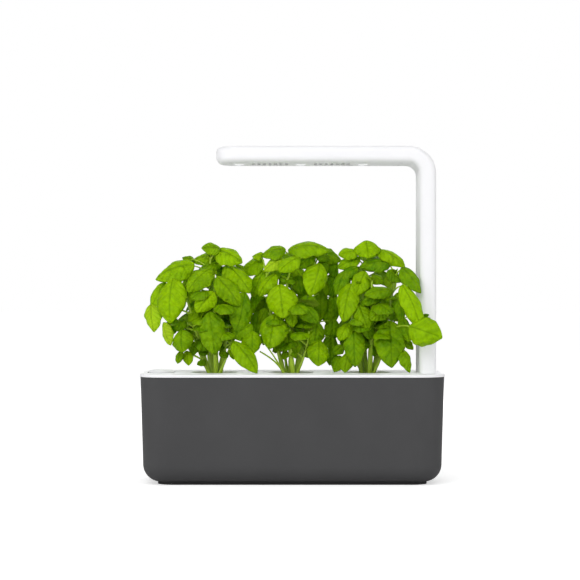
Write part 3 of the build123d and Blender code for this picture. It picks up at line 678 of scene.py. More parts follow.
# Rolled aluminium sheet: pale, with lines along the lamp.
ALUMINIUM = BareMetal("rolled_aluminium", "#d6d8da", 0.35, 0.6, (0.08, 1.0, 1.0))
# Frosted acrylic over each light, and the phosphor chip that shines beneath it.
LENS = ClearLens("frosted_acrylic", "#fbfbff", 0.3)
CHIP = ClearLens("phosphor_chip", "#f4e6a8", 1.5)
# Green solder mask over woven glass fibre.
LAMINATE = CoatedBoard("solder_masked_laminate", "#306145", "#4a7a58", 0.6)
# Closed-cell foam: pale and finely pitted, with grey painted shade in the sunken gaps between
# cells.
FOAM = Crumbly("closed_cell_foam", "#d9dad8", "#e6e6e4", "#b9bab8", 1.2, 0.15)
# Pressed peat: dark crumbs, with black painted shade in the gaps between them.
PEAT = Crumbly("peat_plug", "#3a2618", "#6b4a2e", "#140c07", 1.6, 0.9)
# Needled felt and recycled paper: dull, with visible fibres.
FELT = Fibrous("needled_felt", "#e6e2d6", "#c9c3b2", 0.6, 0.3)
PAPER = Fibrous("recycled_paper", "#e9e4d6", "#d2cab6", 0.8, 0.06, 0.8)
# Basil: puffed leaves in painted lit and shaded greens, veins painted dark as crease shade, on
# pale stems.
LEAF = BasilLeaf(
    "basil_leaf", "#a5ce00", "#c8e62e", "#5a9202", "#aac83c", "#356202", "#ccf00a", 0.34
)
STEM = BasilStem("basil_stem", "#b8d83a", "#8fb420")


# ---- Surfaces ----
@dataclass
class Surface:
    """Points with their quads, triangles, blade map and numbers per point."""

    points: np.ndarray
    quads: np.ndarray
    triangles: np.ndarray
    blade: Optional[np.ndarray] = None
    numbers: dict[str, np.ndarray] = field(default_factory=dict)


def skin(rings: np.ndarray, poles: Optional[np.ndarray] = None) -> Surface:
    """Close a stack of rings into a surface that faces outwards.

    Each ring turns right-handed about the way that the stack goes. Quads join neighbouring
    rings. With poles, a fan of triangles closes each end on its pole; without them, the last
    ring joins the first.

    Args:
        rings: points as (ring, place on the ring, xyz).
        poles: the two end points, or None for a stack that joins itself.

    Returns:
        The closed surface.
    """
    count, around = rings.shape[:2]
    index = np.arange(count * around).reshape(count, around)
    after = np.roll(index, -1, axis=1)
    low, low_after = (index, after) if poles is None else (index[:-1], after[:-1])
    high = np.roll(index, -1, axis=0) if poles is None else index[1:]
    high_after = np.roll(after, -1, axis=0) if poles is None else after[1:]
    quads = np.stack([low, low_after, high_after, high], axis=-1).reshape(-1, 4)
    points = rings.reshape(-1, 3)
    triangles = np.zeros((0, 3), int)
    if poles is not None:
        points = np.vstack([points, poles])
        first = np.full(around, count * around)
        start = np.stack([first, after[0], index[0]], axis=-1)
        end = np.stack([first + 1, index[-1], after[-1]], axis=-1)
        triangles = np.vstack([start, end])
    return Surface(points, quads, triangles)


def turned(profile: np.ndarray, centre: np.ndarray, around: int, closed: bool) -> Surface:
    """Carry a (radius, height) profile round an upright axis.

    Args:
        profile: points from the axis at the underside, outwards and over the top.
        centre: the axis in plan, as xyz with a height of 0.
        around: points round the axis.
        closed: True where the profile is a loop clear of the axis.

    Returns:
        The surface of revolution, closed on the axis or round the loop.
    """
    angle = np.linspace(0, 2 * math.pi, around, endpoint=False)
    circle = np.stack([np.cos(angle), np.sin(angle), np.zeros(around)], axis=-1)
    rings = profile[:, None, :1] * circle + UP * profile[:, None, 1:]
    if closed:
        return skin(rings + centre)
    poles = np.array([[0, 0, profile[0, 1]], [0, 0, profile[-1, 1]]])
    return skin(rings[1:-1] + centre, poles + centre)


def unit(vector: np.ndarray) -> np.ndarray:
    """Scale vectors to a length of one."""
    return vector / np.linalg.norm(vector, axis=-1, keepdims=True)


def tube(path: np.ndarray, radius: np.ndarray, around: int, ridge: float = 0.0) -> Surface:
    """Carry a round or faintly square section along a path.

    A point lies at radius * (1 + ridge * cos 4a) from the path, at the angle a round it. The
    angle starts at a side that is square to the path and to a way just off +Y.

    Args:
        path: points of the middle line.
        radius: the section's radius at each point.
        around: points round the section.
        ridge: how far the section's four ridges stand out, as a share of its radius.

    Returns:
        The tube, closed at both ends.
    """
    ahead = unit(np.gradient(path, axis=0))
    off_y = np.array([0.05, 1.0, 0.02])
    side = unit(np.cross(off_y, ahead))
    over = np.cross(ahead, side)
    angle = np.linspace(0, 2 * math.pi, around, endpoint=False)[None, :, None]
    reach = radius[:, None] * (1 + ridge * np.cos(4 * angle[..., 0]))
    circle = np.cos(angle) * side[:, None] + np.sin(angle) * over[:, None]
    return skin(path[:, None] + reach[..., None] * circle, path[[0, -1]])


def lumps(x: np.ndarray, y: np.ndarray, seed: int, waves: int = 9) -> np.ndarray:
    """Give smooth lumps: crossed sines of seeded pitch and phase, added and levelled off.

    Args:
        x: one way over the surface, in radians of a wave of pitch 1.
        y: the other way.
        seed: the seed of the pitches and phases.
        waves: how many waves are added.

    Returns:
        0.5 + 0.5 * tanh(gain * total / sqrt(waves)), which lies from 0 to 1.
    """
    slowest, fastest, gain = 0.7, 2.6, 1.4
    random = np.random.default_rng(seed)
    pitch = random.uniform(slowest, fastest, (waves, 2))
    phase = random.uniform(0, 2 * math.pi, (waves, 2))
    total = sum(
        np.sin(a * x + p) * np.sin(b * y + q) for (a, b), (p, q) in zip(pitch, phase)
    )
    return 0.5 + 0.5 * np.tanh(total * gain / math.sqrt(waves))


def make_object(
    name: str, surfaces: Iterable[Surface], material: Material, body: str
) -> bpy.types.Object:
    """Join surfaces into one smooth object that rides on a body.

    Args:
        name: the object's name.
        surfaces: closed surfaces in metres.
        material: the finish of them all.
        body: the body that carries the object.

    Returns:
        The object, unturned and unscaled at the origin.
    """
    surfaces = list(surfaces)
    starts = np.cumsum([0] + [len(s.points) for s in surfaces])
    points = np.vstack([s.points for s in surfaces])
    quads = np.vstack([s.quads + start for s, start in zip(surfaces, starts)])
    triangles = np.vstack([s.triangles + start for s, start in zip(surfaces, starts)])
    mesh = bpy.data.meshes.new(name)
    mesh.from_pydata(points.tolist(), [], quads.tolist() + triangles.tolist())
    mesh.polygons.foreach_set("use_smooth", [True] * len(mesh.polygons))
    for key in surfaces[0].numbers:
        values = np.concatenate([s.numbers[key] for s in surfaces])
        mesh.attributes.new(key, "FLOAT", "POINT").data.foreach_set("value", values)
    if surfaces[0].blade is not None:
        corners = np.empty(len(mesh.loops), dtype=np.int32)
        mesh.loops.foreach_get("vertex_index", corners)
        blade = np.vstack([s.blade for s in surfaces])[corners]
        mesh.uv_layers.new(name=BLADE_MAP).data.foreach_set("uv", blade.ravel())
    mesh.materials.append(material)
    mesh.update()
    obj = bpy.data.objects.new(name, mesh)
    bpy.context.scene.collection.objects.link(obj)
    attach(obj, body)
    return obj


def dress(material: Material, *nodes: str) -> None:
    """Give construction nodes a finish through their material slots.

    Args:
        material: the finish.
        *nodes: the nodes' names.
    """
    for name in nodes:
        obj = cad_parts[name]
        if not obj.material_slots:
            obj.data.materials.append(material)
        for slot in obj.material_slots:
            slot.material = material
        log.info("dressed %s in %s", name, material.name)


# ---- Plants ----
class PaintedLight(Enum):
    """Painted light: how bright a leaf is painted, from the plant's shaded inside to its lit
    top.
    """

    DEEP_SHADE = 0.25
    SHADE = 0.42
    HALF_LIT = 0.7
    LIT = 0.9
    # Above the others: painted backlight, in the young colour.
    BACKLIT = 1.45


@dataclass(frozen=True)
class Stem:
    """A stem's foot and tip, in millimetres from the pod's middle at the lid's top."""

    foot: tuple[float, float]
    tip: Point
    foot_radius: float = 2.2
    tip_radius: float = 1.0
    bow: float = 3.0
    leafy: bool = True
    rings: int = 26
    around: int = 10
    nodes: int = 4
    swell: float = 0.14
    ridge: float = 0.05

    def line(self, share: np.ndarray, medium_top: float) -> np.ndarray:
        """Give points along the stem, which bows out sideways as a parabola.

        Args:
            share: places from 0 at the foot to 1 at the tip.
            medium_top: the growing medium's height from the lid's top.

        Returns:
            Points in millimetres from the pod's middle.
        """
        foot = np.array([*self.foot, medium_top])
        tip = np.array(self.tip)
        out = unit(np.array([self.tip[0], self.tip[1], 0.0]) + 1e-6)
        share = np.asarray(share, float)[..., None]
        return foot + (tip - foot) * share + out * self.bow * 4 * share * (1 - share)

    def surface(self, medium_top: float) -> Surface:
        """Give the stem as a faintly square tube that tapers and swells at its nodes.

        Args:
            medium_top: the growing medium's height from the lid's top.

        Returns:
            The tube, whose radius grows by swell * cos(2 pi * nodes * share) ** 8.
        """
        share = np.linspace(0, 1, self.rings)
        swell = 1 + self.swell * np.cos(2 * math.pi * self.nodes * share) ** 8
        radius = self.foot_radius + (self.tip_radius - self.foot_radius) * share
        return tube(self.line(share, medium_top), radius * swell, self.around, self.ridge)


@dataclass(frozen=True)
class BladeForm:
    """What every blade has in common, in millimetres where nothing else is said."""

    grids: tuple[tuple[float, int, int], ...] = ((11, 12, 5), (19, 18, 8), (math.inf, 22, 10))
    first_ring: float = 0.012     # places along the blade, as shares of its length
    last_ring: float = 0.992
    point_start: float = 0.84
    point_length: float = 0.16
    point_pinch: float = 0.22     # how far the outline is drawn in at the tip
    full_width: float = 20.0      # a blade this wide has the depths given here
    wobble: float = 0.03          # of the half width
    groove: float = 0.55
    groove_reach: float = 1.3
    puff: float = 0.75
    rim: float = 0.9
    twist: float = 0.5            # radians per blade length
    twist_start: float = 0.4
    thick: float = 0.45
    rib: float = 0.7
    rib_reach: float = 0.8
    tone_swing: float = 0.1


@dataclass(frozen=True)
class StalkForm:
    """What every leaf's stalk has in common, in millimetres where nothing else is said."""

    rise: float = 10.0            # it leaves its stem this far below the blade
    bite: float = 3.0             # and runs this far along the blade
    lowest: float = 0.05          # places on the stem, as shares of its height
    highest: float = 0.97
    arch: float = 0.16            # of its reach
    rings: int = 12
    around: int = 8
    foot_radius: float = 0.95
    tip_radius: float = 0.55
    thinnest: float = 0.7         # a tiny leaf's stalk, and what a wide one's adds to it
    gain: float = 0.3


BLADE = BladeForm()
STALK = StalkForm()


@dataclass(frozen=True)
class Leaf:
    """A leaf, in millimetres from the pod's middle at the lid's top."""

    base: Point
    tip: Point
    width: float
    bend: float
    facing: Point
    stem: int
    painted_light: PaintedLight = PaintedLight.SHADE
    cup: float = 0.9

    def surface(self, order: int) -> Surface:
        """Give the blade as a thin closed shell.

        The middle line is an arc through the base and the tip, turned by the bend. Half the
        width at u along it is sin(pi * u ** 0.8) ** 0.6, drawn in near the tip. Across it
        the blade is an arc of the cup angle, with a groove along the midrib, puffs between
        the side veins and a wavy rim. The underside lies a leaf's thickness below, with the
        midrib standing out of it. Small leaves have a coarser grid.

        Args:
            order: the leaf's number on its plant, which varies its waves.

        Returns:
            The shell with its blade map, painted light level and underside.
        """
        rows, half = next(grid for limit, *grid in BLADE.grids if self.width < limit)
        u = np.linspace(BLADE.first_ring, BLADE.last_ring, rows)[:, None]
        v = np.linspace(1, -1, 2 * half + 1)[None, :]
        base, tip = np.array(self.base, float), np.array(self.tip, float)
        length = float(np.linalg.norm(tip - base))
        along = unit(tip - base)
        facing = np.array(self.facing, float)
        up = unit(facing - along * facing.dot(along))
        side = np.cross(up, along)

        half_bend = math.radians(self.bend) / 2
        radius = length / (2 * math.sin(half_bend))
        angle = half_bend * (2 * u - 1)
        spine_x = length / 2 + radius * np.sin(angle)
        spine_z = radius * (np.cos(angle) - math.cos(half_bend))

        point = np.clip((u - BLADE.point_start) / BLADE.point_length, 0, 1)
        drawn_in = 1 - BLADE.point_pinch * point**1.5
        half_width = 0.5 * self.width * np.sin(math.pi * u**0.8) ** 0.6 * drawn_in
        wobble = 1 + BLADE.wobble * np.sin(2 * math.pi * (3.5 * u + 0.37 * order)) * v
        across = half_width * np.sin(self.cup * v) / math.sin(self.cup) * wobble
        drop = half_width * (1 - np.cos(self.cup * v)) / math.sin(self.cup)

        size = self.width / BLADE.full_width
        groove = BLADE.groove * np.exp(-((across / BLADE.groove_reach) ** 2)) * (1 - u) ** 0.3
        phase = VEIN_PAIRS * (u - VEIN_LEAN * np.abs(v))
        between = np.abs(np.sin(math.pi * phase)) ** 0.7
        puff = BLADE.puff * size * between * np.abs(v * (1 - v**2)) ** 0.5
        rim = np.sin(2 * math.pi * (2.3 * u + 0.29 * order + 0.15 * v)) * np.abs(v) ** 3
        height = puff - drop - groove + BLADE.rim * size * rim * np.sin(math.pi * u)

        twist = BLADE.twist * math.sin(1.7 * order) * (u - BLADE.twist_start)
        across, height = (
            across * np.cos(twist) - height * np.sin(twist),
            across * np.sin(twist) + height * np.cos(twist),
        )
        rib = BLADE.rib * np.exp(-((across / BLADE.rib_reach) ** 2)) * (1 - u) ** 0.6
        thick = BLADE.thick * (1 - v**4) + rib

        def placed(above: np.ndarray) -> np.ndarray:
            """Place points of the blade.

            Args:
                above: their heights over the middle arc.

            Returns:
                The points in millimetres from the pod's middle.
            """
            run = spine_x + above * np.sin(angle)
            rise = spine_z + above * np.cos(angle)
            shift = across[..., None] * side
            return base + run[..., None] * along + rise[..., None] * up + shift

        top = placed(height)
        bottom = placed(height - thick)[:, -2:0:-1]
        rings = np.concatenate([top, bottom], axis=1)
        shell = skin(rings, np.array([base, tip]))

        ring_v = np.concatenate([v[0], v[0, -2:0:-1]])
        flat_u = np.repeat(u[:, 0], ring_v.size)
        flat_v = np.tile(ring_v, rows)
        ends = [[0.0, 0.5], [1.0, 0.5]]
        shell.blade = np.vstack([np.stack([flat_u, flat_v / 2 + 0.5], axis=-1), ends])
        beneath = np.concatenate([np.zeros(v.size), np.ones(v.size - 2)])
        shell.numbers["under"] = np.append(np.tile(beneath, rows), [0.5, 0.5])
        painted_light = self.painted_light.value + BLADE.tone_swing * math.sin(2.1 * order)
        shell.numbers["painted_light"] = np.full(len(shell.points), painted_light)
        return shell

    def stalk(self, stem: Stem, medium_top: float) -> Surface:
        """Give the stalk: a tapering tube on a quadratic curve from the stem to the blade.

        Args:
            stem: the stem that carries the leaf.
            medium_top: the growing medium's height from the lid's top.

        Returns:
            The stalk, which runs a little way into the midrib.
        """
        base, tip = np.array(self.base, float), np.array(self.tip, float)
        rise = stem.tip[2] - medium_top
        share = (base[2] - STALK.rise - medium_top) / rise
        share = min(max(share, STALK.lowest), STALK.highest)
        start = stem.line(np.array(share), medium_top)
        end = base + unit(tip - base) * STALK.bite
        reach = float(np.linalg.norm(end - start))
        middle = (start + end) / 2 + np.array([0, 0, STALK.arch * reach])
        t = np.linspace(0, 1, STALK.rings)[:, None]
        path = (1 - t) ** 2 * start + 2 * t * (1 - t) * middle + t**2 * end
        stout = STALK.thinnest + STALK.gain * min(self.width / BLADE.full_width, 1)
        radius = np.linspace(STALK.foot_radius, STALK.tip_radius, STALK.rings) * stout
        return tube(path, radius, STALK.around)


DEEP_SHADE, SHADE, HALF_LIT, LIT, BACKLIT = PaintedLight.DEEP_SHADE, PaintedLight.SHADE, PaintedLight.HALF_LIT, PaintedLight.LIT, PaintedLight.BACKLIT


@dataclass(frozen=True)
class ShootForm:
    """How four young leaves fold round a stem's tip, in millimetres and degrees."""

    outer: tuple[float, float] = (9.0, 0.75)    # reach, and lean away from upright
    inner: tuple[float, float] = (6.0, 0.4)
    turn: float = 135.0
    stem_turn: float = 40.0
    least: float = 0.55           # scale at the lid's top, and the height that adds 1 to it
    growth: float = 220.0
    rise: float = 1.1
    slimness: float = 0.62        # width over reach
    bend: float = 40.0

    def leaves(self, stem: Stem, order: int) -> list[Leaf]:
        """Give the young leaves, two outer and two inner, each turned from the last.

        Args:
            stem: the stem that carries them.
            order: the stem's number, which turns them all.

        Returns:
            Four small leaves.
        """
        grown = []
        tip = np.array(stem.tip, float)
        scale = min(1.0, self.least + stem.tip[2] / self.growth)
        pairs = (self.outer, self.outer, self.inner, self.inner)
        for k, (full_reach, lean) in enumerate(pairs):
            bearing = math.radians(self.turn * k + self.stem_turn * order)
            out = np.array([math.cos(bearing), math.sin(bearing), 0.0])
            reach = full_reach * scale
            end = tip + out * reach * lean + UP * (reach * (self.rise - lean))
            facing = UP * lean - out * (1 - lean)
            width = self.slimness * reach
            # The young leaves at the tips are painted lit.
            grown.append(Leaf(tuple(tip), tuple(end), width, self.bend, tuple(facing), 0, LIT))
        return grown


@dataclass(frozen=True)
class NodeForm:
    """How inner leaves sit in crosswise pairs along a stem, in millimetres and degrees."""

    start: float = 30.0           # from the lid's top to a stem's first pair
    pitch: float = 14.0           # from one pair to the next
    free: float = 12.0            # a stem's tip is free of pairs
    stagger: float = 3.0          # by which the pairs of neighbouring stems differ
    bearing: float = 25.0
    stem_turn: float = 50.0
    length: float = 25.0
    length_swing: float = 4.0
    droop: float = 30.0
    droop_swing: float = 22.0
    out: float = 7.0              # from the stem to the blade
    up: float = 4.0
    slimness: float = 0.78        # width over length
    bend: float = 50.0
    face_out: float = 0.6         # how far a blade faces outwards and to the front
    face_front: float = 0.5
    deepest: float = 46.0         # farthest from the pod's middle, to the front or back
    lowest: float = 16.0
    painted_lit_above: float = 60.0

    def leaves(
        self, stem: Stem, order: int, medium_top: float, crown: tuple[float, float]
    ) -> list[Leaf]:
        """Give the inner leaves of a stem, which droop outwards.

        The length and the droop swing as sines of the node's, the stem's and the leaf's
        number. A leaf is left off where its tip would leave the crown.

        Args:
            stem: the stem that bears the leaves.
            order: the stem's number.
            medium_top: the growing medium's height from the lid's top.
            crown: the lowest and highest x of the plant's inside.

        Returns:
            The leaves that fit, painted in shade near the ground and painted lighter above.
        """
        rise = stem.tip[2] - medium_top
        grown = []
        for node in range(int((stem.tip[2] - self.start - self.free) / self.pitch)):
            height = self.start + self.pitch * node + self.stagger * (order % 3)
            base = stem.line(np.array((height - medium_top) / rise), medium_top)
            for turn in (0, 1):
                bearing = math.radians(
                    90 * node + 180 * turn + self.stem_turn * order + self.bearing
                )
                out = np.array([math.cos(bearing), math.sin(bearing), 0.0])
                swing = math.sin(2.3 * node + 1.1 * order + turn)
                length = self.length + self.length_swing * swing
                swing = math.sin(1.9 * node + order + 2 * turn)
                droop = math.radians(self.droop + self.droop_swing * swing)
                start = base + self.out * out + self.up * UP
                end = start + length * (out * math.cos(droop) - UP * math.sin(droop))
                inside = crown[0] < end[0] < crown[1] and abs(end[1]) < self.deepest
                if not inside or end[2] < self.lowest:
                    continue
                facing = UP + self.face_out * out + self.face_front * FRONT
                # Painted shade: low inner leaves get the deep shade, higher and alternate ones
                # a lighter one.
                painted_lit = height > self.painted_lit_above or (node + turn) % 2
                painted_light, width = SHADE if painted_lit else DEEP_SHADE, self.slimness * length
                grown.append(
                    Leaf(tuple(start), tuple(end), width, self.bend, tuple(facing), order, painted_light)
                )
        return grown


# Each plant's stems, and the leaves that show: base, tip, width, bend, facing, stem and painted
# light.
LEFT_STEMS = [
    Stem((-4, -2), (-30, -8, 86), bow=1.0),
    Stem((-2, 4), (-4, 6, 116)),
    Stem((2, -4), (0, -14, 98), 2.6),
    Stem((5, 2), (18, 0, 98), 2.6, bow=1.5),
    Stem((-4, -5), (-20, -8, 34), 1.5, 0.8, 1.0),
    Stem((4, -6), (18, -12, 34), 1.4, 0.7, 1.5),
    Stem((-3, 9), (-12, 24, 66), 1.5, 0.8),
    Stem((5, 9), (12, 26, 70), 1.5, 0.8),
]
LEFT_LEAVES = [
    Leaf((2, 2, 123), (28, -6, 109), 28, 55, (0.2, -0.7, 0.7), 1, LIT),
    Leaf((-20, 2, 108), (-59, 0, 92.5), 33, 65, (-0.3, -0.7, 0.7), 1, HALF_LIT),
    Leaf((-3, -12, 104), (-26, -22, 80), 25, 60, (-0.3, -0.85, 0.5), 2, HALF_LIT),
    Leaf((-41, -12, 94), (-43, -20, 49), 32, 55, (-0.3, -0.9, 0.3), 0, LIT),
    Leaf((-49, 4, 90), (-64, 2, 58), 23, 50, (-0.5, -0.8, 0.3), 0, HALF_LIT),
    Leaf((12, 0, 108), (36, -12, 79), 29, 50, (0.4, -0.8, 0.5), 3, LIT),
    Leaf((-4, -26, 61), (2, -32, 18), 27, 45, (0, -1, 0.15), 2, SHADE),
    Leaf((-32, -16, 43), (-31, -22, 20), 23, 40, (-0.3, -0.9, 0.2), 0, SHADE),
    Leaf((31, -14, 80), (22, -24, 40), 26, 45, (0.3, -0.9, 0.2), 3, SHADE),
    Leaf((20, -32, 32), (43.5, -40, 0.5), 22, 50, (0.4, -0.85, 0.4), 3, HALF_LIT),
    Leaf((-10, 14, 102), (-34, 34, 86), 27, 60, (-0.4, 0.6, 0.8), 1, HALF_LIT),
    Leaf((8, 14, 98), (16, 42, 80), 26, 55, (0.3, 0.7, 0.7), 1, HALF_LIT),
    Leaf((-16, 14, 62), (-34, 40, 44), 27, 55, (-0.4, 0.8, 0.5), 0, SHADE),
    Leaf((6, 12, 46), (12, 42, 26), 25, 50, (0.2, 0.9, 0.5), 3, SHADE),
    # Smaller leaves and those that fill the crown.
    Leaf((7, 0, 123), (-13, -2, 124), 18, 75, (0, -0.7, 0.7), 1, HALF_LIT),
    Leaf((4, 16, 117), (-24, 16, 111), 22, 50, (-0.2, -0.6, 0.8), 1, HALF_LIT),
    Leaf((8, 8, 109), (-16, 6, 103), 16, 60, (-0.1, -0.7, 0.7), 1, SHADE),
    Leaf((11, 10, 106), (3, 8, 93), 15, 45, (0, -0.85, 0.4), 1, SHADE),
    Leaf((21, 6, 107), (32, 4, 98), 12, 45, (0.2, -0.8, 0.5), 3, HALF_LIT),
    Leaf((-21, 10, 113), (-33, 10, 115), 11, 45, (0, -0.7, 0.7), 1, SHADE),
    Leaf((3, -16, 96), (26, -24, 66), 23, 50, (0.2, -0.9, 0.4), 3, HALF_LIT),
    Leaf((0, -22, 81), (-17, -28, 60), 21, 50, (0, -0.9, 0.4), 2, LIT),
    Leaf((4, -8, 81), (22, -14, 61), 17, 45, (0.3, -0.85, 0.3), 3, SHADE),
    Leaf((-63, -4, 68), (-60, -8, 40), 20, 45, (-0.4, -0.85, 0.2), 0, BACKLIT),
    Leaf((-38, 0, 54), (-50, -4, 37), 18, 45, (-0.4, -0.85, 0.3), 0, SHADE),
    Leaf((-51, -8, 50), (-43, -12, 27), 16, 35, (-0.75, -0.6, 0.2), 0, BACKLIT),
    Leaf((-24, 0, 88), (-26, 2, 68), 18, 40, (-0.1, -0.9, 0.2), 1, BACKLIT),
    Leaf((16, 4, 64), (20, 4, 50), 13, 40, (0.2, -0.9, 0.2), 3, BACKLIT),
    Leaf((38, -18, 48), (18, -24, 35), 23, 50, (0.1, -0.9, 0.4), 3, SHADE),
    Leaf((38, -22, 42), (38, -28, 17.5), 21, 40, (0.2, -0.95, 0.2), 3, HALF_LIT),
    Leaf((8, -2, 66), (12, -6, 48), 14, 40, (0.2, -0.9, 0.2), 3, DEEP_SHADE),
    Leaf((-14, -6, 66), (-26, -8, 51), 16, 45, (-0.2, -0.9, 0.3), 0, HALF_LIT),
    Leaf((-30, -8, 53), (-38, -12, 41), 13, 40, (-0.3, -0.9, 0.3), 0, SHADE),
    Leaf((-33, -14, 22), (-36, -18, 9), 9, 30, (-0.3, -0.9, 0.3), 4, SHADE),
    Leaf((-27, -12, 22), (-25, -16, 7), 11, 30, (-0.1, -0.95, 0.2), 4, HALF_LIT),
    Leaf((-20, -8, 31), (-21, -12, 17), 11, 30, (-0.1, -0.95, 0.2), 4, SHADE),
    Leaf((-6, -8, 22), (-15, -12, 18), 8, 40, (-0.1, -0.8, 0.6), 4, DEEP_SHADE),
    Leaf((-8, -10, 12), (-17, -14, 8), 9, 40, (-0.1, -0.8, 0.6), 4, DEEP_SHADE),
    Leaf((6, -12, 22), (14, -16, 15), 9, 40, (0.2, -0.8, 0.5), 5, SHADE),
    Leaf((17, -12, 24), (20, -16, 13), 7, 30, (0.2, -0.9, 0.3), 5, HALF_LIT),
    Leaf((0, 16, 78), (4, 50, 58), 28, 55, (0, 0.8, 0.6), 7, HALF_LIT),
    Leaf((16, 12, 68), (24, 31, 46), 21, 50, (0.3, 0.7, 0.6), 7, SHADE),
    Leaf((-6, 14, 44), (-14, 42, 24), 24, 50, (-0.3, 0.8, 0.4), 6, SHADE),
    Leaf((0, 12, 121), (6, 34, 109), 22, 55, (0.1, 0.6, 0.8), 1, LIT),
    Leaf((-4, 8, 122), (0, 10, 111), 11, 40, (0, -0.8, 0.5), 1, BACKLIT),
    Leaf((-18, 4, 58), (-17, 5, 44), 12, 40, (0, -0.9, 0.3), 0, BACKLIT),
]

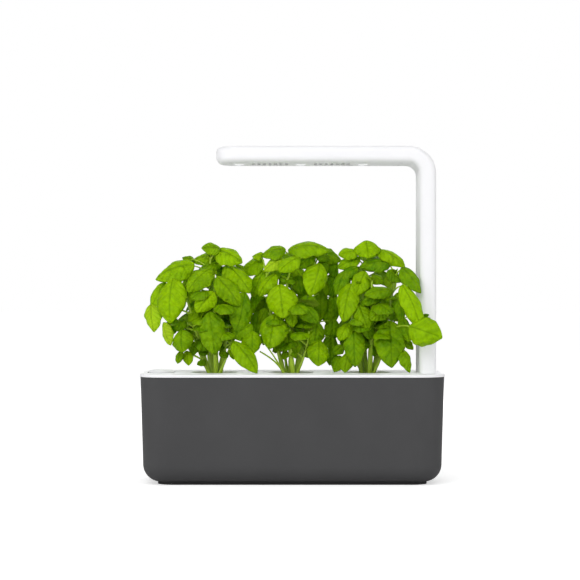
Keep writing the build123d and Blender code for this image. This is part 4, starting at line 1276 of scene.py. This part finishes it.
MIDDLE_STEMS = [
    Stem((-6, -2), (-24, 2, 100)),
    Stem((-1, 4), (2, 4, 117)),
    Stem((2, -5), (-4, -14, 94), 2.6),
    Stem((5.5, 1), (22, 4, 104), 2.6, bow=2.0),
    Stem((-7, -5), (-31, -8, 21), 1.0, 0.7, -5.0, leafy=False),
    Stem((5, -5), (18, -12, 42), 1.3, 0.7),
    Stem((-3, 9), (-10, 24, 66), 1.5, 0.8),
    Stem((4, 9), (12, 26, 70), 1.5, 0.8),
    Stem((-6, -7), (-27, -11, 30), 0.9, 0.6, -1.5, leafy=False),
]
MIDDLE_LEAVES = [
    Leaf((-3, 0, 122), (39, -4, 121), 27, 75, (0, -0.6, 0.8), 1, HALF_LIT),
    Leaf((-5, 0, 123), (-30, -4, 116), 23, 65, (-0.1, -0.65, 0.75), 1, SHADE),
    Leaf((-27, 10, 112.5), (-50, 13, 99), 22, 50, (-0.2, -0.75, 0.6), 0, LIT),
    Leaf((-15, -6, 99), (-32, -8, 76), 20, 50, (-0.5, -0.7, 0.4), 0, LIT),
    Leaf((-11, -18, 88), (-7, -30, 54), 32, 50, (-0.1, -0.95, 0.3), 2, LIT),
    Leaf((-15, -20, 58), (-21, -30, 24), 30, 45, (-0.2, -0.95, 0.3), 0, HALF_LIT),
    Leaf((29, -4, 109), (19, -16, 76), 26, 50, (0.3, -0.9, 0.3), 3, LIT),
    Leaf((28, 14, 121.5), (51, 17, 112), 23, 55, (0.2, -0.7, 0.6), 3, SHADE),
    Leaf((7, -14, 70), (27, -22, 49), 20, 45, (0.3, -0.85, 0.45), 2, SHADE),
    Leaf((28, -10, 33), (27, -20, 6.5), 24, 45, (0.2, -0.9, 0.4), 3, HALF_LIT),
    Leaf((-8, 12, 106), (-22, 38, 90), 25, 55, (-0.4, 0.7, 0.7), 1, HALF_LIT),
    Leaf((10, 14, 100), (20, 42, 84), 25, 55, (0.3, 0.7, 0.7), 1, HALF_LIT),
    Leaf((-14, 12, 60), (-26, 38, 40), 25, 50, (-0.4, 0.8, 0.5), 0, SHADE),
    Leaf((10, 12, 46), (16, 42, 26), 25, 50, (0.3, 0.9, 0.5), 3, SHADE),
    # Smaller leaves and those that fill the crown.
    Leaf((8, -14, 115), (-12, -20, 100), 20, 60, (-0.1, -0.8, 0.6), 2, LIT),
    Leaf((-8, -6, 114), (-27, -12, 101), 17, 50, (-0.2, -0.75, 0.6), 0, BACKLIT),
    Leaf((-27, 6, 118), (-39, 8, 116), 13, 45, (0, -0.65, 0.75), 0, LIT),
    Leaf((-34, 14, 81), (-35, 14, 56), 17, 45, (-0.3, -0.9, 0.2), 0, HALF_LIT),
    Leaf((-26, 6, 102), (-39, 8, 75), 19, 45, (-0.3, -0.85, 0.4), 0, HALF_LIT),
    Leaf((1, -4, 100), (-12, -8, 88), 15, 50, (-0.1, -0.8, 0.5), 1, DEEP_SHADE),
    Leaf((2, 2, 105), (13, 2, 92), 15, 50, (0.1, -0.85, 0.4), 1, BACKLIT),
    Leaf((6, -2, 97), (11, -6, 77), 15, 45, (0.1, -0.9, 0.3), 3, SHADE),
    Leaf((14, 4, 87), (13, 2, 68), 14, 45, (0.1, -0.9, 0.3), 3, SHADE),
    Leaf((24, 4, 121), (39, 8, 112), 16, 60, (0.1, -0.7, 0.7), 3, SHADE),
    Leaf((30, 6, 113), (37, 8, 98), 15, 50, (0.2, -0.85, 0.4), 3, DEEP_SHADE),
    Leaf((39, 14, 114), (47, 15, 94), 15, 50, (0.3, -0.85, 0.4), 3, DEEP_SHADE),
    Leaf((8, -6, 72), (29, -8, 68), 13, 60, (0, 0.8, 0.5), 3, BACKLIT),
    Leaf((38, 14, 72), (36, 15, 48), 20, 45, (0.2, -0.9, 0.3), 3, SHADE),
    Leaf((26, -6, 51), (22, -12, 24), 21, 45, (0.2, -0.9, 0.2), 3, SHADE),
    Leaf((0, -18, 66), (2, -24, 45), 15, 35, (0.2, -0.9, 0.2), 2, HALF_LIT),
    Leaf((3, -8, 37), (6, -12, 19), 16, 40, (0.1, -0.9, 0.3), 5, SHADE),
    Leaf((-24, 2, 64), (-32, 3, 48), 14, 40, (-0.3, -0.9, 0.2), 0, SHADE),
    Leaf((10, -4, 57), (8, -8, 40), 14, 40, (0.1, -0.9, 0.2), 3, DEEP_SHADE),
    Leaf((-4, -12, 45), (-2, -16, 27), 13, 40, (0.1, -0.95, 0.2), 2, SHADE),
    Leaf((24, 6, 118), (7, 4, 104), 16, 50, (0, -0.8, 0.6), 3, SHADE),
    Leaf((39, 16, 98), (44, 17, 73), 18, 45, (0.2, -0.9, 0.3), 3, SHADE),
    Leaf((43, 17, 78), (44, 18, 48), 16, 45, (0.2, -0.9, 0.3), 3, SHADE),
    Leaf((30, 10, 82), (29, 10, 50), 18, 45, (0.2, -0.9, 0.3), 3, SHADE),
    Leaf((41, 14, 38), (39, 15, 6), 17, 45, (0.2, -0.9, 0.3), 3, SHADE),
    Leaf((32, 12, 92), (31, 12, 70), 16, 45, (0.1, -0.9, 0.3), 3, HALF_LIT),
    Leaf((42, 16, 54), (41, 17, 27), 16, 45, (0.2, -0.9, 0.3), 3, SHADE),
    Leaf((-31, 8, 62), (-36, 7, 34), 17, 45, (-0.2, -0.9, 0.3), 0, SHADE),
    Leaf((-4, -8, 22), (-8, -12, 13), 8, 35, (-0.1, -0.9, 0.4), 2, SHADE),
    Leaf((2, -9, 24), (5, -13, 14), 8, 35, (0.2, -0.9, 0.4), 5, SHADE),
    Leaf((-12, -6, 30), (-16, -10, 20), 8, 35, (-0.1, -0.9, 0.4), 0, HALF_LIT),
    Leaf((0, 18, 78), (-4, 52, 60), 28, 55, (0, 0.8, 0.6), 6, HALF_LIT),
    Leaf((14, 14, 64), (26, 40, 46), 24, 50, (0.3, 0.7, 0.6), 7, SHADE),
    Leaf((-4, 14, 40), (-12, 42, 22), 22, 50, (-0.3, 0.8, 0.4), 6, SHADE),
    Leaf((8, 12, 30), (18, 34, 13), 19, 50, (0.3, 0.8, 0.5), 7, SHADE),
    Leaf((2, 12, 121), (0, 36, 110), 22, 55, (0.1, 0.6, 0.8), 1, LIT),
]

RIGHT_STEMS = [
    Stem((-5, -2), (-18, -6, 94), bow=2.0),
    Stem((-1, 4), (-2, 4, 119)),
    Stem((2, -5), (4, -16, 92), 2.6),
    Stem((5.5, 1), (28, -4, 100), bow=2.0),
    Stem((-4, -5), (-21, -10, 40), 1.4, 0.7, 1.5),
    Stem((5, -5), (20, -12, 44), 1.3, 0.7),
    Stem((-3, 9), (-8, 24, 66), 1.5, 0.8),
    Stem((5, 9), (16, 24, 70), 1.5, 0.8),
]
RIGHT_LEAVES = [
    Leaf((-1, 0, 132), (1, -10, 114), 28, 45, (0, -0.85, 0.5), 1, LIT),
    Leaf((9, 6, 123.5), (38, 1, 105), 21, 60, (0.3, -0.6, 0.8), 1, LIT),
    Leaf((24, 0, 110), (-8, -5, 105), 21, 60, (0, -0.75, 0.65), 3, SHADE),
    Leaf((33, -28, 105), (51, -42, 79), 20, 45, (0.4, -0.85, 0.35), 3, SHADE),
    Leaf((33, -42, 88), (51, -50, 43), 21, 45, (0.3, -0.9, 0.3), 3, LIT),
    Leaf((39, -52, 47), (71, -57, 35.5), 30, 45, (0.1, -0.95, 0.1), 3, LIT),
    Leaf((21, -24, 52), (23, -33, 5.5), 32, 40, (0.1, -1, 0.2), 2, SHADE),
    Leaf((25, -22, 82), (-4, -28, 77), 18, 55, (0, -0.7, 0.7), 2, SHADE),
    Leaf((-16, -14, 89), (-25, -24, 50), 24, 50, (-0.3, -0.93, 0.25), 0, LIT),
    Leaf((-14, -18, 44), (-13, -28, 6), 22, 40, (-0.1, -0.98, 0.2), 0, SHADE),
    Leaf((-8, 12, 106), (-20, 38, 90), 25, 55, (-0.4, 0.7, 0.7), 1, HALF_LIT),
    Leaf((12, 14, 102), (24, 40, 86), 25, 55, (0.3, 0.7, 0.7), 1, HALF_LIT),
    Leaf((-12, 12, 60), (-22, 40, 40), 25, 50, (-0.4, 0.8, 0.5), 0, SHADE),
    Leaf((14, 12, 48), (24, 40, 28), 25, 50, (0.3, 0.9, 0.5), 3, SHADE),
    # Smaller leaves and those that fill the crown.
    Leaf((-9, 0, 121), (-29, -4, 117), 17, 55, (-0.1, -0.75, 0.65), 1, LIT),
    Leaf((-9, -4, 105), (-28, -6, 94), 15, 60, (-0.1, -0.8, 0.6), 1, DEEP_SHADE),
    Leaf((-2, -12, 101), (-13, -20, 76), 20, 50, (-0.1, -0.9, 0.4), 1, HALF_LIT),
    Leaf((-22, -6, 102), (-31, -8, 77), 17, 45, (-0.3, -0.85, 0.3), 0, SHADE),
    Leaf((20, -6, 102), (34, -8, 90), 15, 50, (0.2, -0.8, 0.5), 3, SHADE),
    Leaf((20, 4, 97), (28, 6, 83), 14, 40, (0.2, -0.85, 0.3), 3, BACKLIT),
    Leaf((4, -8, 97), (16, -10, 89), 13, 45, (0.1, -0.8, 0.5), 2, HALF_LIT),
    Leaf((14, -16, 75), (-8, -20, 67), 14, 75, (0, -0.6, 0.85), 2, DEEP_SHADE),
    Leaf((20, -24, 69), (2, -30, 52), 20, 50, (-0.1, -0.9, 0.4), 2, SHADE),
    Leaf((-9, -20, 68), (0, -28, 43), 19, 50, (0, -0.95, 0.3), 2, HALF_LIT),
    Leaf((30, -18, 80), (33, -24, 50), 16, 45, (0.4, -0.9, 0.2), 3, SHADE),
    Leaf((-18, -16, 50), (-29, -24, 32), 16, 45, (-0.3, -0.9, 0.2), 0, HALF_LIT),
    Leaf((-2, -14, 54), (2, -20, 33), 16, 40, (0, -0.95, 0.2), 2, SHADE),
    Leaf((50, -39, 55), (59, -44, 58), 5, 20, (0.3, -0.9, 0.3), 3, DEEP_SHADE),
    Leaf((37, -16, 34), (45, -20, 23), 11, 30, (0.5, -0.8, 0.2), 3, SHADE),
    Leaf((32.5, -24, 24), (41, -30, 0.5), 17, 60, (0.6, -0.75, 0.2), 3, HALF_LIT),
    Leaf((-24, -10, 27), (-35, -12, 19), 12, 35, (-0.2, -0.85, 0.4), 4, SHADE),
    Leaf((-27, -10, 17), (-33.5, -14, 0.5), 16, 35, (-0.3, -0.85, 0.3), 4, SHADE),
    Leaf((-19, -14, 21), (-23, -18, 0), 15, 40, (-0.2, -0.9, 0.3), 4, HALF_LIT),
    Leaf((-7, 2, 115), (-30, 0, 104), 16, 55, (-0.1, -0.8, 0.5), 1, HALF_LIT),
    Leaf((33, -22, 57), (41, -26, 30), 14, 45, (0.3, -0.9, 0.2), 3, SHADE),
    Leaf((10, -8, 27), (6, -12, 16), 8, 35, (0.1, -0.9, 0.4), 5, DEEP_SHADE),
    Leaf((0, 18, 80), (4, 52, 62), 28, 55, (0, 0.8, 0.6), 6, HALF_LIT),
    Leaf((18, 12, 68), (34, 36, 50), 24, 50, (0.3, 0.7, 0.6), 7, SHADE),
    Leaf((-2, 14, 42), (-8, 42, 22), 22, 50, (-0.3, 0.8, 0.4), 6, SHADE),
    Leaf((2, 12, 122), (4, 36, 110), 22, 55, (0.1, 0.6, 0.8), 1, LIT),
]


# ---- Sub-assemblies ----
@dataclass
class Finishes:
    """The garden's materials, each built once."""

    tank: Material = field(default_factory=TANK_ABS.make)
    foot: Material = field(default_factory=FOOT_TPE.make)
    white: Material = field(default_factory=WHITE_ABS.make)
    black: Material = field(default_factory=BLACK_ABS.make)
    sleeve: Material = field(default_factory=PVC_SLEEVE.make)
    brass: Material = field(default_factory=BRASS.make)
    steel: Material = field(default_factory=STEEL.make)
    aluminium: Material = field(default_factory=ALUMINIUM.make)
    lens: Material = field(default_factory=LENS.make)
    chip: Material = field(default_factory=CHIP.make)
    laminate: Material = field(default_factory=LAMINATE.make)
    foam: Material = field(default_factory=FOAM.make)
    peat: Material = field(default_factory=PEAT.make)
    felt: Material = field(default_factory=FELT.make)
    paper: Material = field(default_factory=PAPER.make)
    leaf: Material = field(default_factory=LEAF.make)
    stem: Material = field(default_factory=STEM.make)


@dataclass
class Tank:
    """The water tank on its foot ring."""

    finishes: Finishes

    def build(self) -> None:
        """Dress the tub and its ring."""
        dress(self.finishes.tank, "water_tank")
        dress(self.finishes.foot, "base_ring")


@dataclass
class Lid:
    """The lid with its arm socket, wiring bay, power inlet and float guide."""

    finishes: Finishes

    def build(self) -> None:
        """Dress the lid and what hangs under it."""
        dress(self.finishes.white, "lid", "arm_socket", "float_guide", "wiring_bay")
        dress(self.finishes.black, "power_jack")
        dress(self.finishes.brass, "socket_contacts", "jack_pin")
        dress(self.finishes.steel, "wiring_bay_screws")
        dress(self.finishes.sleeve, "lid_lead")


@dataclass
class Float:
    """The water-level float: a cap on a stem with a foam body."""

    finishes: Finishes

    def build(self) -> None:
        """Dress the cap and the foam."""
        dress(self.finishes.white, "float_cap")
        dress(self.finishes.foam, "float_body")


@dataclass
class Pod:
    """One pod: its cup, growing medium, wick, collar and plant."""

    number: int
    stems: list[Stem]
    leaves: list[Leaf]
    crown: tuple[float, float]        # lowest and highest x of the plant's inside
    finishes: Finishes
    shoots: ShootForm = ShootForm()
    nodes: NodeForm = NodeForm()
    root_depth: float = 1.0           # millimetres that a stem's foot is in the medium
    plug_around: int = 72
    plug_step: float = 1.2 * MM
    plug_taper: float = 0.075         # radius lost for each length downwards
    wick_room: float = 0.4 * MM
    bore_wall: float = 0.5 * MM       # this much outside the bore stays unworn
    crumb_depth: float = 0.9 * MM
    crumb_turn: float = 9.0           # waves of wear: per radian, and per metre
    crumb_rise: float = 2600.0
    crumb_reach: float = 1500.0
    crumb_top: float = 2400.0
    wick_around: int = 36
    wick_rings: int = 60
    wick_foot: float = 0.6            # the flat of its underside, of its radius
    felt_depth: float = 0.25 * MM
    felt_turn: float = 5.0
    felt_rise: float = 1400.0
    collar_hole: float = 15.0 * MM    # radius
    collar_around: int = 96
    collar_across: int = 8
    rim_points: int = 7
    wave_height: float = 0.25 * MM
    wave_count: int = 3

    @property
    def body(self) -> str:
        """Name of the body that carries the pod."""
        return f"pod_{self.number}"

    def build(self) -> None:
        """Build the soft pieces and the plant, and dress the cup."""
        dress(self.finishes.white, f"plant_cup_{self.number}")
        self.build_medium()
        self.build_wick()
        self.build_collar()
        self.build_plant()

    def middle(self, piece: str) -> tuple[Vector, Vector, np.ndarray]:
        """Give where a piece of the construction stands.

        Args:
            piece: the node's name without the pod's number.

        Returns:
            The node's low and high corners, and its upright axis in plan.
        """
        low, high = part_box(f"{piece}_{self.number}")
        return low, high, np.array([(low.x + high.x) / 2, (low.y + high.y) / 2, 0.0])

    def add_piece(
        self, name: str, surfaces: list[Surface], material: Material, piece: str
    ) -> None:
        """Put a finished piece on the pod in place of a piece of the construction.

        Args:
            name: its name without the pod's number.
            surfaces: its closed surfaces in metres.
            material: its finish.
            piece: the replaced node's name without the pod's number.
        """
        obj = make_object(f"{name}_{self.number}", surfaces, material, self.body)
        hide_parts(f"{piece}_{self.number}")
        log.info("built %s of %d surfaces", obj.name, len(surfaces))

    def build_medium(self) -> None:
        """Build the peat plug: a bored taper whose side and top are worn into crumbs.

        Its radius and height lose up to the crumbs' depth, by lumps over the surface.
        """
        low, high, axis = self.middle("growing_medium")
        cup_low, _, _ = self.middle("plant_cup")
        wick_low, wick_high, _ = self.middle("wick")
        bore = (wick_high.x - wick_low.x) / 2 + self.wick_room
        top_radius = (high.x - low.x) / 2
        foot_radius = top_radius - (high.z - cup_low.z) * self.plug_taper
        corners = np.array(
            [(0, wick_high.z), (bore, wick_high.z), (bore, low.z), (foot_radius, low.z),
             (top_radius, high.z), (0, high.z)]
        )
        steps = np.linalg.norm(np.diff(corners, axis=0), axis=1)
        place = np.concatenate([[0], np.cumsum(steps)])
        even = np.unique(np.concatenate([np.arange(0, place[-1], self.plug_step), place]))
        profile = np.stack([np.interp(even, place, corners[:, i]) for i in (0, 1)], axis=-1)
        plug = turned(profile, axis, self.plug_around, closed=False)
        offset = plug.points - axis
        angle = np.arctan2(offset[:, 1], offset[:, 0])
        radius = np.hypot(offset[:, 0], offset[:, 1])
        down = self.crumb_rise * offset[:, 2] + self.crumb_reach * radius
        worn = lumps(self.crumb_turn * angle, down, 3 * self.number)
        worn = worn * self.crumb_depth * (radius > bore + self.bore_wall)
        shrink = 1 - worn / np.maximum(radius, MM)
        plug.points[:, :2] = axis[:2] + offset[:, :2] * shrink[:, None]
        top = np.isclose(plug.points[:, 2], high.z)
        across, back = self.crumb_top * offset[:, 0], self.crumb_top * offset[:, 1]
        plug.points[:, 2] -= top * lumps(across, back, 5 * self.number) * self.crumb_depth
        finish = self.finishes.peat
        self.add_piece("peat_plug", [plug], finish, "growing_medium")

    def build_wick(self) -> None:
        """Build the felt wick: a round strand whose radius loses up to the felt's depth."""
        low, high, axis = self.middle("wick")
        radius = (high.x - low.x) / 2
        height = np.linspace(low.z, high.z, self.wick_rings)
        side = np.stack([np.full(self.wick_rings, radius), height], axis=-1)
        foot = [[0, low.z], [radius * self.wick_foot, low.z]]
        profile = np.vstack([foot, side, [0, high.z]])
        strand = turned(profile, axis, self.wick_around, closed=False)
        offset = strand.points - axis
        angle = np.arctan2(offset[:, 1], offset[:, 0])
        worn = lumps(self.felt_turn * angle, self.felt_rise * offset[:, 2], 7 * self.number)
        shrink = 1 - worn * self.felt_depth / radius
        strand.points[:, :2] = axis[:2] + offset[:, :2] * shrink[:, None]
        self.add_piece("felt_wick", [strand], self.finishes.felt, "wick")

    def build_collar(self) -> None:
        """Build the paper collar: a flat ring with a rounded rim that lifts in slow waves.

        At a share s of its width it lifts by 4 * s * (1 - s) of a sine round the ring.
        """
        low, high, axis = self.middle("pod_collar")
        outer = (high.x - low.x) / 2
        hole = self.collar_hole
        thick = high.z - low.z
        angle = np.linspace(-0.5 * math.pi, 0.5 * math.pi, self.rim_points)
        over = 0.5 * thick * (1 - np.cos(angle))
        rim = np.stack([outer - over, low.z + 0.5 * thick * (1 + np.sin(angle))], axis=-1)
        inside = np.stack([hole + over, low.z + 0.5 * thick * (1 - np.sin(angle))], axis=-1)
        across = np.linspace(hole + thick, outer - thick, self.collar_across)
        floor = np.stack([across, np.full(self.collar_across, low.z)], axis=-1)
        roof = np.stack([across[::-1], np.full(self.collar_across, high.z)], axis=-1)
        profile = np.vstack([floor, rim, roof, inside])
        ring = turned(profile, axis, self.collar_around, closed=True)
        offset = ring.points - axis
        bearing = np.arctan2(offset[:, 1], offset[:, 0])
        share = (np.hypot(offset[:, 0], offset[:, 1]) - hole) / (outer - hole)
        wave = 0.5 + 0.5 * np.sin(self.wave_count * bearing + self.number)
        ring.points[:, 2] += self.wave_height * wave * share * (1 - share) * 4
        finish = self.finishes.paper
        self.add_piece("paper_collar", [ring], finish, "pod_collar")

    def build_plant(self) -> None:
        """Build the basil: one piece of all its blades, one of its stems and stalks."""
        _, _, axis = self.middle("plant_cup")
        _, lid_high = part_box("lid")
        _, plug_high, _ = self.middle("growing_medium")
        medium_top = (plug_high.z - lid_high.z) / MM - self.root_depth
        stalked, young = list(self.leaves), []
        for i, stem in enumerate(self.stems):
            stalked += self.nodes.leaves(stem, i, medium_top, self.crown)
            young += self.shoots.leaves(stem, i) if stem.leafy else []
        blades = [leaf.surface(i) for i, leaf in enumerate(stalked + young)]
        rods = [stem.surface(medium_top) for stem in self.stems]
        rods += [leaf.stalk(self.stems[leaf.stem], medium_top) for leaf in stalked]
        origin = axis + UP * lid_high.z
        for surface in blades + rods:
            surface.points = surface.points * MM + origin
        self.add_piece("basil_leaves", blades, self.finishes.leaf, "basil_plant")
        self.add_piece("basil_stems", rods, self.finishes.stem, "basil_plant")


@dataclass
class Arm:
    """The two lamp-arm extensions with their inserts and contacts."""

    finishes: Finishes

    def build(self) -> None:
        """Dress both extensions."""
        for name in ("lower", "upper"):
            dress(self.finishes.white, f"{name}_extension", f"{name}_extension_core")
            dress(self.finishes.brass, f"{name}_extension_contacts")


@dataclass
class Lamp:
    """The lamp: its shell, cover, lights and timer."""

    finishes: Finishes

    def build(self) -> None:
        """Dress the lamp's pieces."""
        dress(self.finishes.white, "lamp_housing", "lamp_cover", "lamp_core")
        dress(self.finishes.brass, "lamp_contacts")
        dress(self.finishes.sleeve, "lamp_lead")
        dress(self.finishes.steel, "lamp_cover_screws")
        dress(self.finishes.lens, "light_lenses")
        dress(self.finishes.chip, "light_chips")
        dress(self.finishes.laminate, "light_board", "timer_board")
        dress(self.finishes.aluminium, "heat_spreader")


class Softbox(NamedTuple):
    """A light's name, width and height, power and place."""

    name: str
    size: tuple[float, float]
    watts: float
    place: Point


def seen_white(add: Callable[..., bpy.types.Node]) -> bpy.types.Node:
    """Add a switch for rays from the camera or through glass.

    Args:
        add: add_node, bound to a tree.

    Returns:
        A node that gives 1 for those rays and 0 for others.
    """
    path = add("LightPath")
    either = {0: path.outputs["Is Camera Ray"], 1: path.outputs["Is Transmission Ray"]}
    return add("Math", either, operation="MAXIMUM")


@dataclass
class Studio:
    """Pale floor and backdrop, soft lights and the camera.

    A fall is a pair: the place where a light starts to change, and where it is done.
    """

    camera_place: Point = (-0.0023, -2.0, 0.1908)
    lens_mm: float = 123.9
    sensor_mm: float = 36.0
    sees_to: float = 60.0
    floor_side: float = 30.0
    floor_colour: str = "#ebebeb"
    floor_roughness: float = 0.9
    floor_fall: tuple[float, float] = (0.3, 1.6)
    floor_glow: tuple[float, float] = (0.52, 0.66)
    sky_light: float = 0.61
    wall_light: float = 0.25
    wall_fall: tuple[float, float] = (0.2, 1.0)
    back_share: float = 0.35
    back_fall: tuple[float, float] = (0.2, 0.9)
    aim: Point = (0.0, 0.0, 0.16)
    # A broad key over the front, a fill, a light behind and a strip at each end.
    lights: tuple[Softbox, ...] = (
        Softbox("key", (1.4, 1.4), 12.8, (-0.5, -1.4, 1.45)),
        Softbox("fill", (1.2, 1.2), 2.0, (1.3, -1.4, 0.6)),
        Softbox("rim", (1.2, 1.2), 9.0, (0.2, 1.6, 0.9)),
        Softbox("left_strip", (0.4, 1.2), 12.0, (-1.75, -1.0, 0.45)),
        Softbox("right_strip", (0.4, 1.2), 9.0, (1.75, -1.0, 0.45)),
    )

    def build(self) -> None:
        """Build the floor, the world, the lights and the camera."""
        self.build_floor()
        self.build_world()
        for light in self.lights:
            self.hang(light)
        self.build_camera()

    def build_floor(self) -> None:
        """Lay a wide matt floor that keeps the shadow and is otherwise seen as white.

        Its glow rises with the distance from the garden, as the softboxes' light falls off.
        """
        half = self.floor_side / 2
        mesh = bpy.data.meshes.new("floor")
        corners = [(-half, -half, 0), (half, -half, 0), (half, half, 0), (-half, half, 0)]
        mesh.from_pydata(corners, [], [(0, 1, 2, 3)])
        floor = bpy.data.objects.new("floor", mesh)
        bpy.context.scene.collection.objects.link(floor)
        shader = Shader("pale_floor")
        add = shader.add
        matt = {"Roughness": self.floor_roughness, "Specular IOR Level": 0.0}
        shader.finish({"Base Color": self.floor_colour, **matt})
        away = add("VectorMath", {0: shader.place}, operation="LENGTH").outputs["Value"]
        (start, end), (near, far) = self.floor_fall, self.floor_glow
        rising = add(
            "MapRange",
            {"Value": away, "From Min": start, "From Max": end, "To Min": near, "To Max": far},
        )
        glow = add("Math", {0: seen_white(add), 1: rising}, operation="MULTIPLY")
        light = add("Emission", {"Strength": glow})
        total = add("AddShader", {0: shader.surface, 1: light})
        set_inputs(shader.tree, shader.output, {"Surface": total})
        mesh.materials.append(shader.material)

    def build_world(self) -> None:
        """Make a world that is seen as white and lights the garden softly.

        Its light falls off towards the two ends and behind, as between dark walls.
        """
        world = bpy.data.worlds.new("studio")
        world.use_nodes = True
        tree = world.node_tree
        tree.nodes.clear()
        add = partial(add_node, tree)
        way = add("SeparateXYZ", {0: add("TexCoord").outputs["Generated"]}).outputs
        side = add("Math", {0: way[0]}, operation="ABSOLUTE")
        start, end = self.back_fall
        behind = add(
            "MapRange",
            {"Value": way[1], "From Min": start, "From Max": end, "To Min": 1.0,
             "To Max": self.back_share},
        )
        start, end = self.wall_fall
        strength = add(
            "MapRange",
            {"Value": side, "From Min": start, "From Max": end, "To Min": self.sky_light,
             "To Max": self.wall_light},
        )
        dimmed = add("Math", {0: strength, 1: behind}, operation="MULTIPLY")
        sky = add("Background", {"Color": "#ffffff", "Strength": dimmed})
        seen = add("Background", {"Color": "#ffffff", "Strength": 1.0})
        add("OutputWorld", {"Surface": add("MixShader", {0: seen_white(add), 1: sky, 2: seen})})
        bpy.context.scene.world = world

    def hang(self, light: Softbox) -> None:
        """Hang a softbox that points at the garden's middle.

        Args:
            light: the softbox.
        """
        data = bpy.data.lights.new(light.name, "AREA")
        data.shape = "RECTANGLE"
        data.size, data.size_y = light.size
        data.energy = light.watts
        lamp = bpy.data.objects.new(light.name, data)
        lamp.location = light.place
        towards = Vector(self.aim) - Vector(light.place)
        lamp.rotation_euler = towards.to_track_quat("-Z", "Y").to_euler()
        bpy.context.scene.collection.objects.link(lamp)

    def build_camera(self) -> None:
        """Place a level camera in front of the garden."""
        data = bpy.data.cameras.new("camera")
        data.lens = self.lens_mm
        data.sensor_width = self.sensor_mm
        data.clip_end = self.sees_to
        camera = bpy.data.objects.new("camera", data)
        camera.location = self.camera_place
        camera.rotation_euler = (math.radians(90), 0.0, 0.0)
        bpy.context.scene.collection.objects.link(camera)
        bpy.context.scene.camera = camera


def main() -> None:
    """Build the garden's parts in order and light them."""
    logging.basicConfig(level=logging.INFO, format="%(name)s: %(message)s")
    bpy.context.scene.view_settings.view_transform = "Standard"
    Studio().build()
    finishes = Finishes()
    for assembly in (
        Tank(finishes),
        Lid(finishes),
        Float(finishes),
        Pod(1, LEFT_STEMS, LEFT_LEAVES, (-46.0, 32.0), finishes),
        Pod(2, MIDDLE_STEMS, MIDDLE_LEAVES, (-36.0, 24.0), finishes),
        Pod(3, RIGHT_STEMS, RIGHT_LEAVES, (-32.0, 42.0), finishes),
        Arm(finishes),
        Lamp(finishes),
    ):
        assembly.build()


if __name__ == "__main__":
    main()
